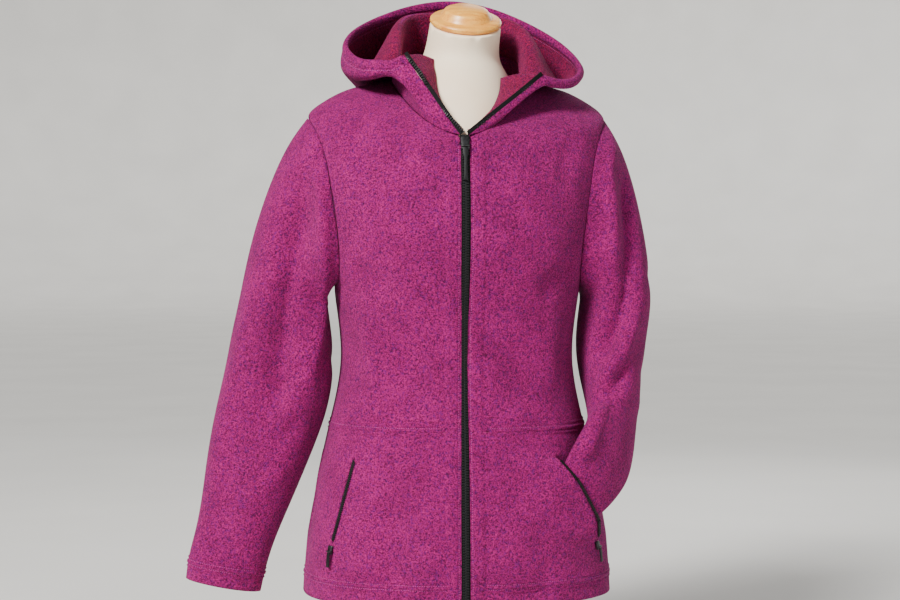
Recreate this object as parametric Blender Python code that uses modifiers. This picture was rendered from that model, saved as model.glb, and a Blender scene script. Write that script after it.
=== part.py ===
"""A boiled wool jacket with a hood, dressed on a limbless dress form with a turned neck cap.

Metres, +Z up, the front faces -Y, and the wearer's left is +X. The floor is at z = 0. One sleeve hangs
free and the other is tucked into its pocket. Cloth is a wall whose outer face is worked out here; each
piece stops short of its neighbour, so that a fine gap runs along every seam.
"""

import bisect
import math

import bmesh
import bpy
import numpy as np
from mathutils import Vector

WOOL = 0.0024  # thickness of one layer of boiled wool
SEAM = 0.0003  # gap along every seam
ZIP_HALF = 0.006  # half the width of the main zip's chain
HEM_Z = 0.160
WAIST_Z = 0.385
UNDERARM = 0.570  # climb of the armhole's lowest and highest points
SHOULDER_TIP = 0.803
NECKLINE = 0.931
ARMHOLE_FRONT = 31.0  # degrees that the armhole cuts into the front and into the back
ARMHOLE_BACK = 25.0
ARMHOLE_CORNERS = 0.225  # the smaller, the squarer the armhole's ends
FRONT_COLUMNS = 9
BACK_COLUMNS = 14

# The body's sections. climb is the way up the side and along the shoulder, z is the height at the centre
# front, the side and the centre back, and side_y is how far behind the axis the side lies.
# climb, z_front, z_side, z_back, half_width, front, back, side_y, squareness
BODY = (
    (0.160, 0.160, 0.160, 0.160, 0.209, 0.150, 0.135, 0.000, 2.3),
    (0.235, 0.235, 0.235, 0.235, 0.204, 0.148, 0.135, 0.000, 2.3),
    (0.310, 0.310, 0.310, 0.310, 0.190, 0.142, 0.130, 0.000, 2.3),
    (0.370, 0.370, 0.370, 0.370, 0.177, 0.135, 0.120, 0.000, 2.3),
    (0.420, 0.420, 0.420, 0.420, 0.165, 0.128, 0.108, 0.000, 2.3),
    (0.460, 0.460, 0.460, 0.460, 0.156, 0.122, 0.100, 0.000, 2.3),
    (0.500, 0.500, 0.500, 0.500, 0.158, 0.124, 0.102, 0.000, 2.3),
    (0.550, 0.550, 0.550, 0.550, 0.163, 0.134, 0.110, 0.000, 2.3),
    (0.600, 0.600, 0.600, 0.600, 0.175, 0.145, 0.118, 0.000, 2.3),
    (0.650, 0.648, 0.650, 0.650, 0.185, 0.150, 0.122, 0.000, 2.3),
    (0.700, 0.690, 0.700, 0.702, 0.195, 0.147, 0.121, 0.000, 2.25),
    (0.740, 0.720, 0.740, 0.744, 0.200, 0.142, 0.117, 0.000, 2.15),
    (0.770, 0.738, 0.770, 0.778, 0.204, 0.138, 0.110, 0.001, 2.0),
    (0.803, 0.750, 0.803, 0.812, 0.205, 0.134, 0.099, 0.003, 1.9),
    (0.833, 0.757, 0.821, 0.832, 0.180, 0.132, 0.090, 0.006, 1.9),
    (0.866, 0.762, 0.838, 0.846, 0.150, 0.130, 0.082, 0.010, 1.95),
    (0.931, 0.768, 0.850, 0.857, 0.088, 0.128, 0.070, 0.015, 2.0),
)
FRONT_DIP = 1.5  # how quickly the neckline falls from the shoulder to the centre front

LOWER_ROWS = (0.160, 0.195, 0.235, 0.240, 0.263, 0.291, 0.320, 0.345, 0.350, 0.385)
UPPER_ROWS = (0.385, 0.430, 0.475, 0.520, 0.570, 0.576, 0.590, 0.615, 0.650)
UPPER_ROWS += (0.690, 0.730, 0.765, 0.790, 0.803, 0.833, 0.866, 0.900, 0.931)

# The pocket mouths, as the angle round the body at each height.
POCKET_BOTTOM = 0.235
POCKET_TOP = 0.350
POCKET_ZIP_HALF = 0.0027
# z, angle on the closed pocket, angle on the open pocket
POCKET_LINE = (
    (0.160, 55.5, 64.0),
    (0.235, 54.7, 58.8),
    (0.350, 48.5, 39.0),
    (0.385, 50.0, 40.0),
)
CLOSED_POCKET_COLUMN = 5
OPEN_POCKET_COLUMN = 4
LIP_BULGE = 0.020  # the open pocket's front lip stands out over the tucked sleeve
LIP_REACH = 0.075
REAR_RECESS = 0.006
REAR_REACH = 0.045
POCKET_RADIUS = 0.19  # of the body round the pockets
LIP_CHAIN = 0.0032  # width of the half chain on the open lip
LIP_CHAIN_WAY = (0.66, 0.75)  # its direction outwards and back

# The free sleeve below the underarm, on the -X side.
# x, y, z, half_width, half_depth, slope of the section
FREE_SLEEVE = (
    (-0.2350, 0.000, 0.552, 0.060, 0.072, 0.00),
    (-0.2370, 0.000, 0.507, 0.069, 0.071, 0.00),
    (-0.2390, 0.000, 0.462, 0.0745, 0.068, 0.02),
    (-0.2495, -0.004, 0.408, 0.0765, 0.062, 0.05),
    (-0.2670, -0.009, 0.349, 0.070, 0.053, 0.08),
    (-0.2840, -0.014, 0.288, 0.060, 0.045, 0.12),
    (-0.2990, -0.018, 0.240, 0.053, 0.038, 0.15),
    (-0.3100, -0.020, 0.205, 0.0525, 0.034, 0.18),
    (-0.3155, -0.020, 0.172, 0.0508, 0.032, 0.19),
)
# The tucked sleeve above the pocket, on the +X side: its centre, the way to its front end and to its
# outer side, and how square its section is (1 is an ellipse).
# x, y, z, front_x, front_y, front_z, outer_x, outer_y, squareness
TUCKED_SLEEVE = (
    (0.2190, 0.000, 0.552, 0.000, -0.073, 0.000, 0.0495, 0.000, 1.0),
    (0.2125, 0.000, 0.510, 0.000, -0.076, 0.000, 0.0490, 0.000, 1.0),
    (0.2095, -0.004, 0.470, 0.000, -0.076, 0.002, 0.0460, 0.000, 1.0),
    (0.2110, -0.012, 0.430, -0.006, -0.074, 0.010, 0.0405, -0.002, 1.0),
    (0.2080, -0.035, 0.388, -0.022, -0.058, 0.026, 0.0300, -0.010, 0.9),
    (0.1965, -0.075, 0.352, -0.033, -0.036, 0.038, 0.0160, -0.014, 0.8),
    (0.1690, -0.102, 0.320, -0.028, -0.019, 0.041, 0.0080, -0.0095, 0.65),
)
# The same sleeve inside the pocket: how far past the mouth, its stand-off from the panel's outer face,
# half its thickness, and half its height.
# past, stand_off, half_thickness, half_height
INSIDE_POCKET = (
    (0.000, 0.0060, 0.0075, 0.036),
    (0.015, 0.0040, 0.0072, 0.036),
    (0.035, -0.0020, 0.0068, 0.036),
    (0.060, -0.0110, 0.0062, 0.036),
    (0.085, -0.0130, 0.0060, 0.036),
    (0.110, -0.0130, 0.0060, 0.036),
)
TUCK_CENTRE_Z = 0.298
TUCK_CLEARANCE = 0.0028
TUCK_ACROSS = 0.60  # the hidden end runs this much across the panel for each metre, and this much down
TUCK_DOWN = 0.80
# Each sleeve leaves the armhole outwards and down, and reaches its first section nearly upright.
SLEEVE_HEAD_ROWS = 4
HEAD_LEAVE = (0.86, 0.0, -0.5)
HEAD_LEAVE_REACH = 0.45
HEAD_ARRIVE_REACH = 0.95
FREE_WAY = (-0.1, 0.0, -1.0)
TUCKED_WAY = (0.02, 0.0, -1.0)
ARMHOLE_GAP = 0.0005  # the folded seam under the arm needs more room than a flat one

# Long soft troughs in the sleeves: angle round the section, its spread, and its depth.
FREE_TROUGHS = ((112.0, 20.0, 0.009), (250.0, 24.0, 0.007))
TROUGH_START = 0.6  # rows above the first section where the troughs begin

# The hood, worn down. Each station stands on the neckline at its angle; the profile runs from the seam
# over a ridge by the neck, down into a valley, out to a belly and up to the rim.
# angle, ridge x y z, valley x y z, belly x y z, rim x y z
HOOD_RIGHT = (
    (0, -0.022, -0.122, 0.791, -0.045, -0.113, 0.826, -0.061, -0.106, 0.850, -0.077, -0.100, 0.874),
    (30, -0.060, -0.108, 0.808, -0.075, -0.104, 0.834, -0.086, -0.099, 0.853, -0.094, -0.092, 0.866),
    (50, -0.083, -0.074, 0.860, -0.096, -0.076, 0.848, -0.107, -0.084, 0.850, -0.112, -0.080, 0.868),
    (65, -0.083, -0.046, 0.897, -0.108, -0.050, 0.847, -0.130, -0.060, 0.846, -0.134, -0.060, 0.870),
    (80, -0.078, -0.015, 0.922, -0.122, -0.018, 0.848, -0.152, -0.022, 0.855, -0.150, -0.028, 0.886),
    (95, -0.070, 0.018, 0.936, -0.127, 0.018, 0.850, -0.159, 0.012, 0.866, -0.152, 0.006, 0.905),
    (115, -0.058, 0.045, 0.945, -0.118, 0.060, 0.848, -0.150, 0.062, 0.862, -0.134, 0.050, 0.927),
    (140, -0.038, 0.062, 0.949, -0.084, 0.106, 0.796, -0.108, 0.120, 0.845, -0.095, 0.090, 0.950),
    (160, -0.020, 0.069, 0.950, -0.042, 0.122, 0.764, -0.056, 0.148, 0.828, -0.050, 0.112, 0.967),
    (180, 0.000, 0.071, 0.951, 0.000, 0.130, 0.754, 0.000, 0.160, 0.820, 0.000, 0.120, 0.974),
)
HOOD_LEFT = (
    (0, 0.028, -0.122, 0.786, 0.061, -0.1125, 0.812, 0.081, -0.107, 0.828, 0.105, -0.100, 0.848),
    (30, 0.066, -0.108, 0.803, 0.088, -0.103, 0.822, 0.104, -0.099, 0.834, 0.118, -0.092, 0.845),
    (50, 0.093, -0.076, 0.848, 0.108, -0.079, 0.840, 0.123, -0.086, 0.837, 0.134, -0.080, 0.8435),
    (65, 0.096, -0.048, 0.880, 0.124, -0.053, 0.841, 0.147, -0.062, 0.838, 0.153, -0.058, 0.848),
    (80, 0.092, -0.015, 0.910, 0.133, -0.018, 0.845, 0.165, -0.022, 0.846, 0.169, -0.025, 0.862),
    (95, 0.082, 0.018, 0.930, 0.136, 0.018, 0.848, 0.172, 0.012, 0.858, 0.168, 0.012, 0.882),
    (115, 0.064, 0.045, 0.942, 0.122, 0.060, 0.848, 0.158, 0.062, 0.862, 0.147, 0.052, 0.911),
    (140, 0.040, 0.062, 0.949, 0.086, 0.106, 0.796, 0.112, 0.120, 0.845, 0.100, 0.092, 0.944),
    (160, 0.020, 0.069, 0.950, 0.044, 0.122, 0.764, 0.058, 0.148, 0.828, 0.052, 0.112, 0.965),
    (180, 0.000, 0.071, 0.951, 0.000, 0.130, 0.754, 0.000, 0.160, 0.820, 0.000, 0.120, 0.974),
)
PROFILE_KEYS = (0.0, 0.22, 0.55, 0.75, 1.0)  # seam, ridge, valley, belly, rim along the profile
HOOD_ROWS = (0.0, 0.07, 0.14, 0.19, 0.24, 0.32, 0.42, 0.50, 0.57, 0.65, 0.74, 0.86, 1.0)
LINING_START = 1  # the first hood row that the lining reaches

HALF_CHAIN = 0.0055  # width of a half chain up the hood's edge
CHAIN_THICKNESS = 0.0021
# length, width, height of the body
MAIN_SLIDER = (0.0190, 0.0110, 0.0045)
POCKET_SLIDER = (0.0110, 0.0070, 0.0032)
POCKET_SLIDER_Z = 0.2285
POCKET_SLIDER_SPAN = (0.012, 0.006)  # of the pocket line, below and above, that sets the slope
POCKET_SEAT = 0.0005
LUG_FROM_END = 0.0035
LUG_HALF = 0.0011
LUG_HEIGHT = 0.0026
NOSE_LENGTH = 0.6  # where the slider's top starts to slope, and the height of its front edge
NOSE_HEIGHT = 0.7
PULL_THICKNESS = 0.0016
MAIN_PULL_LEAN = 10.5  # degrees that the main pull stands out from the vertical
POCKET_PULL_LEAN = 4.0  # degrees that a pocket's pull leans in towards the panel
END_BOX_LENGTH = 0.012
END_BOX_WIDTH = 0.0105
END_BOX_HEIGHT = 0.0028
END_BOX_BEVEL = (0.002, 0.001)  # along the box, and down its front edge
END_BOX_SPAN = 0.035  # of the chain that sets the box's slope
# distance down from the axis, half width
MAIN_PULL = (
    (0.0019, 0.0030),
    (0.0040, 0.0037),
    (0.0110, 0.0037),
    (0.0145, 0.0022),
    (0.0380, 0.0022),
    (0.0440, 0.0030),
    (0.0455, 0.0024),
)
POCKET_PULL = (
    (0.0019, 0.0022),
    (0.0050, 0.0026),
    (0.0150, 0.0024),
    (0.0195, 0.0028),
    (0.0210, 0.0020),
)

BASE_RADIUS = 0.155
BASE_HEIGHT = 0.018
BASE_EDGE = 0.006
POLE_RADIUS = 0.0125
TORSO_BOTTOM = 0.205
# How far the form's surface lies inside the cloth's outer face.
# climb, inset
FORM_INSET = (
    (0.205, 0.034),
    (0.390, 0.032),
    (0.470, 0.018),
    (0.570, 0.013),
    (0.700, 0.011),
    (0.790, 0.010),
    (0.803, 0.0080),
    (0.833, 0.0031),
    (0.866, 0.0031),
    (0.900, 0.0080),
    (0.931, 0.0140),
)
FORM_ROWS = (0.205, 0.260, 0.330, 0.400, 0.460, 0.530, 0.600, 0.660, 0.720, 0.770)
FORM_ROWS += (0.803, 0.833, 0.866, 0.900, 0.931)
# The form's neck above its shoulders.
# x, y, z, radius, share of the cap's tilt
NECK = (
    (0.002, -0.012, 0.862, 0.0620, 0.0),
    (0.004, -0.016, 0.876, 0.0515, 0.1),
    (0.007, -0.022, 0.899, 0.0485, 0.5),
    (0.0095, -0.029, 0.9215, 0.0480, 1.0),
)
CAP_TILT = math.radians(25)
CAP_ROLL = math.radians(2)
# The turned cap, from the bottom centre round to the top centre: radius, height
CAP_PROFILE = (
    (0.0000, 0.0000),
    (0.0450, 0.0000),
    (0.0480, 0.0025),
    (0.0480, 0.0060),
    (0.0455, 0.0085),
    (0.0350, 0.0095),
    (0.0325, 0.0140),
    (0.0290, 0.0195),
    (0.0220, 0.0225),
    (0.0000, 0.0232),
)

# colour, roughness, metallic
FINISHES = {
    "boiled_wool": ((0.45, 0.025, 0.21), 0.95, 0.0),
    "zip_plastic": ((0.008, 0.008, 0.009), 0.45, 0.0),
    "zip_metal": ((0.012, 0.012, 0.013), 0.35, 1.0),
    "form_cover": ((0.80, 0.74, 0.62), 0.60, 0.0),
    "turned_wood": ((0.74, 0.44, 0.14), 0.30, 0.0),
    "stand_metal": ((0.05, 0.05, 0.055), 0.35, 1.0),
}


def start_scene():
    for old in list(bpy.data.objects):
        bpy.data.objects.remove(old, do_unlink=True)
    collection = bpy.data.collections.new("boiled_wool_jacket")
    bpy.context.scene.collection.children.link(collection)
    return collection


def make_finish(name):
    colour, roughness, metallic = FINISHES[name]
    finish = bpy.data.materials.new(name)
    finish.use_nodes = True
    shader = finish.node_tree.nodes["Principled BSDF"]
    shader.inputs["Base Color"].default_value = (*colour, 1)
    shader.inputs["Roughness"].default_value = roughness
    shader.inputs["Metallic"].default_value = metallic
    return finish


def add_object(name, mesh, finish_name, sharp_degrees=40):
    obj = bpy.data.objects.new(name, mesh)
    jacket.objects.link(obj)
    mesh.materials.append(finishes[finish_name])
    mesh.shade_smooth()
    mesh.set_sharp_from_angle(angle=math.radians(sharp_degrees))
    return obj


def smooth(keys, values, at):
    """The value at a place between the rows of a table, on a smooth curve through them."""
    values = np.asarray(values, float)
    at = min(max(at, keys[0]), keys[-1])
    i = min(bisect.bisect_right(keys, at), len(keys) - 1) - 1
    last = len(keys) - 1

    def slope(j):
        before = max(j - 1, 0)
        after = min(j + 1, last)
        return (values[after] - values[before]) / (keys[after] - keys[before])

    span = keys[i + 1] - keys[i]
    t = (at - keys[i]) / span
    start = values[i] * (1 + 2 * t) * (1 - t) ** 2 + slope(i) * span * t * (1 - t) ** 2
    end = values[i + 1] * t * t * (3 - 2 * t) + slope(i + 1) * span * t * t * (t - 1)
    return start + end


def straight(keys, values, at):
    return float(np.interp(at, keys, values))


def ease(value):
    value = min(max(value, 0.0), 1.0)
    return value * value * (3 - 2 * value)


def signed_power(value, power):
    return math.copysign(abs(value) ** power, value)


BODY_KEYS = [row[0] for row in BODY]
BODY_VALUES = [row[1:] for row in BODY]


def body_point(angle, climb):
    """A point of the body's outer face. The angle is 0 at the front, 90 at +X and 180 at the back."""
    z_front, z_side, z_back, half, front, back, side_y, square = smooth(BODY_KEYS, BODY_VALUES, climb)
    turn = math.radians(angle)
    side = signed_power(math.sin(turn), 2 / square)
    ahead = signed_power(math.cos(turn), 2 / square)
    reach = front + side_y if ahead > 0 else back - side_y
    z_centre = z_front if ahead > 0 else z_back
    drop = abs(math.cos(turn)) ** FRONT_DIP
    return Vector((half * side, side_y - ahead * reach, z_side + (z_centre - z_side) * drop))


def body_normal(angle, climb):
    around = body_point(angle + 0.5, climb) - body_point(angle - 0.5, climb)
    up = body_point(angle, min(climb + 0.002, NECKLINE)) - body_point(angle, climb - 0.002)
    return around.cross(up).normalized()


def edge_angle(climb):
    """The angle of the centre front edge, half a zip's width from the middle."""
    half, square = (smooth(BODY_KEYS, BODY_VALUES, climb)[i] for i in (3, 7))
    return math.degrees(math.asin((ZIP_HALF / half) ** (square / 2)))


def armhole_cut(climb, most):
    if not UNDERARM < climb < SHOULDER_TIP:
        return 0.0
    along = 2 * (climb - UNDERARM) / (SHOULDER_TIP - UNDERARM) - 1
    return most * (1 - along * along) ** ARMHOLE_CORNERS


def pocket_angle(z, is_open):
    keys = [row[0] for row in POCKET_LINE]
    return straight(keys, [row[2 if is_open else 1] for row in POCKET_LINE], z)


def mouth_share(z):
    """How open the pocket's mouth is at a height, from 0 at its ends to 1."""
    along = (2 * z - POCKET_TOP - POCKET_BOTTOM) / (POCKET_TOP - POCKET_BOTTOM)
    return max(1 - abs(along) ** 6, 0.0)


class Cloth:
    """A sheet of outer points and the faces between them, made a wall later."""

    def __init__(self, name, finish="boiled_wool", thickness=WOOL):
        self.name = name
        self.finish = finish
        self.thickness = thickness
        self.edge_gap = SEAM / 2
        self.points = []
        self.faces = []

    def add(self, point):
        self.points.append(Vector(point))
        return len(self.points) - 1

    def add_row(self, points):
        return [self.add(point) for point in points]

    def bridge(self, row, following):
        for i in range(len(row) - 1):
            self.faces.append((row[i], row[i + 1], following[i + 1], following[i]))

    def sheet(self, rows, around=False):
        """Joins rows of points; around closes each row into a ring."""
        made = [self.add_row(row) for row in rows]
        for row, following in zip(made, made[1:]):
            if around:
                self.bridge(row + row[:1], following + following[:1])
            else:
                self.bridge(row, following)

    def turn_over(self):
        self.faces = [face[::-1] for face in self.faces]


def seam_key(point):
    return tuple(round(c * 20000) for c in point)


def face_normals(cloth):
    normals = [Vector() for _ in cloth.points]
    for face in cloth.faces:
        corners = [cloth.points[i] for i in face]
        normal = (corners[2] - corners[0]).cross(corners[3] - corners[1])
        for i in face:
            normals[i] += normal
    return normals


def shared_normals(cloths):
    """The normal at each seam point. The body's pieces count as one there, as a sleeve or the hood does."""
    kinds = {}
    for cloth in cloths:
        kind = cloth.name.split("_")[0].replace("front", "body").replace("back", "body")
        for point, normal in zip(cloth.points, face_normals(cloth)):
            here = kinds.setdefault(seam_key(point), {})
            here[kind] = here.get(kind, Vector()) + normal.normalized()
    return {
        key: sum((normal.normalized() for normal in here.values()), Vector())
        for key, here in kinds.items()
    }


def seam_shift(cloth, normals):
    """How far each edge point moves into its own piece, so that its two edges keep half the gap."""
    shifts = {}
    edges = {}
    for face in cloth.faces:
        middle = sum((cloth.points[i] for i in face), Vector()) / len(face)
        for i, j in zip(face, face[1:] + face[:1]):
            edges.setdefault(frozenset((i, j)), []).append(middle)
    inward = {}
    for edge, middles in edges.items():
        if len(middles) == 2:
            continue
        i, j = sorted(edge)
        along = cloth.points[j] - cloth.points[i]
        for k in (i, j):
            across = along.cross(normals[k])
            if across.dot(middles[0] - cloth.points[i]) < 0:
                across.negate()
            inward.setdefault(k, []).append(across.normalized())
    for k, ways in inward.items():
        together = sum(ways, Vector())
        corner = 1 + ways[0].dot(ways[-1])
        shifts[k] = together / max(corner, 0.5) * cloth.edge_gap
    return shifts


def split_quad(face, points):
    """The two triangles on the quad's shorter diagonal, so that every layer bends along the same lines."""
    a, b, c, d = face
    if (points[a] - points[c]).length <= (points[b] - points[d]).length:
        return (a, b, c), (a, c, d)
    return (b, c, d), (b, d, a)


def make_wall(cloth, normals, start=0.0):
    """A closed wall whose outer face lies start inside the cloth's points."""
    count = len(cloth.points)
    shifts = seam_shift(cloth, normals)
    bm = bmesh.new()
    for depth in (start, start + cloth.thickness):
        for i in range(count):
            bm.verts.new(cloth.points[i] + shifts.get(i, Vector()) - normals[i] * depth)
    bm.verts.ensure_lookup_table()
    used = {}
    for face in cloth.faces:
        for half in split_quad(face, cloth.points):
            bm.faces.new([bm.verts[i] for i in half])
            bm.faces.new([bm.verts[i + count] for i in reversed(half)])
        for i, j in zip(face, face[1:] + face[:1]):
            used[(i, j)] = True
    for i, j in used:
        if (j, i) not in used:
            bm.faces.new([bm.verts[k] for k in (j, i, i + count, j + count)])
    loose = [vert for vert in bm.verts if not vert.link_faces]
    bmesh.ops.delete(bm, geom=loose, context="VERTS")
    mesh = bpy.data.meshes.new(cloth.name)
    bm.to_mesh(mesh)
    bm.free()
    return add_object(cloth.name, mesh, cloth.finish)


def front_angles(climb, columns=FRONT_COLUMNS, pocket_column=None, is_open=False):
    """The angles of a front's columns at one height, from the zip to the side seam or the armhole."""
    first = edge_angle(climb)
    last = 90 - armhole_cut(climb, ARMHOLE_FRONT)
    even = [first + (last - first) * i / columns for i in range(columns + 1)]
    if pocket_column is None:
        return even
    knee = pocket_angle(climb, is_open)
    keys = [0, pocket_column, columns]
    bent = [straight(keys, [first, knee, last], i) for i in range(columns + 1)]
    blend = ease((WAIST_Z - climb) / (WAIST_Z - POCKET_TOP))
    return [a + (b - a) * blend for a, b in zip(even, bent)]


def side_point(side, angle, climb, stand_off=0.0):
    """A body point on the +X (side 1) or the -X (side -1) half, stood off along the normal."""
    point = body_point(angle, climb)
    if stand_off:
        point += body_normal(angle, climb) * stand_off
    return Vector((side * point.x, point.y, point.z))


def arc_length(first, last, climb):
    return (body_point(last, climb) - body_point(first, climb)).length


def lower_front(name, side, pocket_column, is_open):
    """A lower front with its pocket's mouth cut along one column, and the two lips of the mouth."""
    cloth = Cloth(name)
    front_lip, rear_lip = [], []
    ahead_rows, behind_rows = [], []
    for z in LOWER_ROWS:
        angles = front_angles(z, FRONT_COLUMNS, pocket_column, is_open)
        share = mouth_share(z) if POCKET_BOTTOM < z < POCKET_TOP else 0.0
        mouth = angles[pocket_column]
        degrees = math.degrees(POCKET_ZIP_HALF / POCKET_RADIUS) if share else 0.0
        ahead, behind = [], []
        for angle in angles[: pocket_column + 1]:
            angle = min(angle, mouth - degrees)
            out = 0.0
            if is_open:
                out = LIP_BULGE * share * (1 - ease(arc_length(angle, mouth, z) / LIP_REACH))
            ahead.append(side_point(side, angle, z, out))
        for angle in angles[pocket_column:]:
            angle = max(angle, mouth + degrees)
            out = 0.0
            if is_open:
                out = -REAR_RECESS * share * (1 - ease(arc_length(angle, mouth, z) / REAR_REACH))
            behind.append(side_point(side, angle, z, out))
        ahead_rows.append(cloth.add_row(ahead))
        if share:
            front_lip.append(ahead[-1])
            rear_lip.append(behind[0])
            behind_rows.append(cloth.add_row(behind))
        else:
            behind_rows.append([ahead_rows[-1][-1]] + cloth.add_row(behind[1:]))
    for rows in (ahead_rows, behind_rows):
        for row, following in zip(rows, rows[1:]):
            cloth.bridge(row, following)
    if side < 0:
        cloth.turn_over()
    return cloth, front_lip, rear_lip


def upper_front(name, side):
    cloth = Cloth(name)
    cloth.sheet([[side_point(side, a, c) for a in front_angles(c)] for c in UPPER_ROWS])
    if side < 0:
        cloth.turn_over()
    return cloth


def back_angles(climb):
    first = 90 + armhole_cut(climb, ARMHOLE_BACK)
    return [first + (360 - 2 * first) * i / BACK_COLUMNS for i in range(BACK_COLUMNS + 1)]


def back_piece(name, rows):
    cloth = Cloth(name)
    cloth.sheet([[body_point(a, c) for a in back_angles(c)] for c in rows])
    return cloth


def armhole_loop(side):
    """The armhole's points from the underarm up the front to the tip and down the back."""
    rows = [c for c in UPPER_ROWS if UNDERARM <= c <= SHOULDER_TIP]
    loop = [side_point(side, 90 - armhole_cut(c, ARMHOLE_FRONT), c) for c in rows]
    loop += [side_point(side, 90 + armhole_cut(c, ARMHOLE_BACK), c) for c in rows[-2:0:-1]]
    return loop


def sleeve_ring(centre, front, outer, count, square=1.0, troughs=(), share=1.0):
    """A section from its inner side through its front and outer sides round to its back."""
    ring = []
    for i in range(count):
        turn = 2 * math.pi * i / count
        inward = outer * -signed_power(math.cos(turn), square)
        point = centre + inward + front * math.sin(turn)
        for angle, spread, depth in troughs:
            away = (math.degrees(turn) - angle) / spread
            pull = depth * share * math.exp(-away * away)
            point -= (point - centre).normalized() * pull
        ring.append(point)
    return ring


def sleeve_head(loop, first_ring, side, way):
    """Rows that carry the armhole's loop out and down into the first section."""
    leaving = Vector((side * HEAD_LEAVE[0], *HEAD_LEAVE[1:]))
    arriving = Vector(way).normalized()
    rows = [loop]
    for k in range(1, SLEEVE_HEAD_ROWS):
        t = k / SLEEVE_HEAD_ROWS
        row = []
        for start, end in zip(loop, first_ring):
            reach = (end - start).length
            leave = leaving * reach * HEAD_LEAVE_REACH
            arrive = arriving * reach * HEAD_ARRIVE_REACH
            point = start * (1 + 2 * t) * (1 - t) ** 2 + leave * t * (1 - t) ** 2
            point += end * t * t * (3 - 2 * t) + arrive * t * t * (t - 1)
            row.append(point)
        rows.append(row)
    return rows


def free_sleeve():
    loop = armhole_loop(-1)
    rings = []
    for k, (x, y, z, half_width, half_depth, slope) in enumerate(FREE_SLEEVE):
        outer = Vector((-half_width, 0, half_width * slope))
        share = math.sin(math.pi * min((k + TROUGH_START) / len(FREE_SLEEVE), 1))
        front = Vector((0, -half_depth, 0))
        ring = sleeve_ring(Vector((x, y, z)), front, outer, len(loop), 1.0, FREE_TROUGHS, share)
        rings.append(ring)
    cloth = Cloth("sleeve_right")
    cloth.edge_gap = ARMHOLE_GAP
    rows = sleeve_head(loop, rings[0], -1, FREE_WAY) + rings
    cloth.sheet(rows, around=True)
    return cloth


def lip_stand_off(angle, z):
    """How far the open pocket's front panel bulges at a place, taken straight between its rows."""
    share = straight(LOWER_ROWS, [mouth_share(row) for row in LOWER_ROWS], z)
    return LIP_BULGE * share * (1 - ease(arc_length(angle, pocket_angle(z, True), z) / LIP_REACH))


def tucked_ring(past, stand_off, thick, high, count):
    ring = []
    for i in range(count):
        turn = 2 * math.pi * i / count
        mouth_z = TUCK_CENTRE_Z + high * math.sin(turn)
        angle = pocket_angle(mouth_z, True) - math.degrees(TUCK_ACROSS * past / POCKET_RADIUS)
        z = mouth_z - TUCK_DOWN * past
        middle = min(stand_off, lip_stand_off(angle, z) - WOOL - TUCK_CLEARANCE - thick)
        off = middle - thick * signed_power(math.cos(turn), 0.5)
        ring.append(side_point(1, angle, z, off))
    return ring


def tucked_sleeve():
    loop = armhole_loop(1)
    rings = []
    for x, y, z, fx, fy, fz, ox, oy, square in TUCKED_SLEEVE:
        centre = Vector((x, y, z))
        rings.append(sleeve_ring(centre, Vector((fx, fy, fz)), Vector((ox, oy, 0)), len(loop), square))
    for past, stand_off, thick, high in INSIDE_POCKET:
        rings.append(tucked_ring(past, stand_off, thick, high, len(loop)))
    cloth = Cloth("sleeve_left")
    cloth.edge_gap = ARMHOLE_GAP
    rows = sleeve_head(loop, rings[0], 1, TUCKED_WAY) + rings
    cloth.sheet(rows, around=True)
    cloth.turn_over()
    return cloth


def hood_profile(side, angle, first=False):
    """The hood's profile over one neckline point, seam first. The first one is the zip's edge."""
    table = HOOD_LEFT if side > 0 else HOOD_RIGHT
    keys = [row[0] for row in table]
    places = smooth(keys, [row[1:] for row in table], 0 if first else angle).reshape(4, 3)
    seam = side_point(side, angle, NECKLINE)
    stops = [tuple(seam)] + [tuple(place) for place in places]
    return [Vector(smooth(PROFILE_KEYS, stops, w)) for w in HOOD_ROWS]


def hood_sheet(name):
    """The hood from the right zip edge round the back to the left zip edge."""
    fronts = front_angles(NECKLINE)
    backs = back_angles(NECKLINE)
    half = BACK_COLUMNS // 2
    right = [hood_profile(-1, a, a == fronts[0]) for a in fronts]
    left = [hood_profile(1, a, a == fronts[0]) for a in fronts]
    behind = [hood_profile(1, a) for a in backs[1 : half + 1]]
    behind += [hood_profile(-1, 360 - a) for a in backs[half + 1 : -1]]
    profiles = left + behind + right[::-1]
    cloth = Cloth(name)
    cloth.sheet([[profile[k] for profile in profiles] for k in range(len(HOOD_ROWS))])
    return cloth, left, right


def zip_strip(name, first_edge, second_edge):
    """A strip of zip chain between two edges."""
    cloth = Cloth(name, "zip_plastic", CHAIN_THICKNESS)
    cloth.sheet([[a, b] for a, b in zip(first_edge, second_edge)])
    return cloth


def lookup_normals(cloth, shared):
    return [shared[seam_key(point)].normalized() for point in cloth.points]


def centre_front_edge(side, rows):
    return [side_point(side, edge_angle(c), c) for c in rows]


def zip_half(name, profiles, side):
    """The half chain up one edge of the hood, from the slider to the zip's top."""
    edge, beside = profiles[0], profiles[1]
    free = []
    for k, point in enumerate(edge):
        along = (edge[min(k + 1, len(edge) - 1)] - edge[max(k - 1, 0)]).normalized()
        out = point - beside[k]
        out -= along * out.dot(along)
        free.append(point + out.normalized() * HALF_CHAIN)
    pair = (free, edge) if side > 0 else (edge, free)
    return zip_strip(name, *pair)


def pocket_strip(name, front_lip, rear_lip, side):
    pair = (front_lip, rear_lip) if side > 0 else (rear_lip, front_lip)
    return zip_strip(name, *pair)


def lip_strip(name, front_lip, side):
    """The half chain along the open pocket's front lip."""
    outwards, back = LIP_CHAIN_WAY
    free = [point + Vector((side * outwards, back, 0)) * LIP_CHAIN for point in front_lip]
    return pocket_strip(name, front_lip, free, side)


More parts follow.
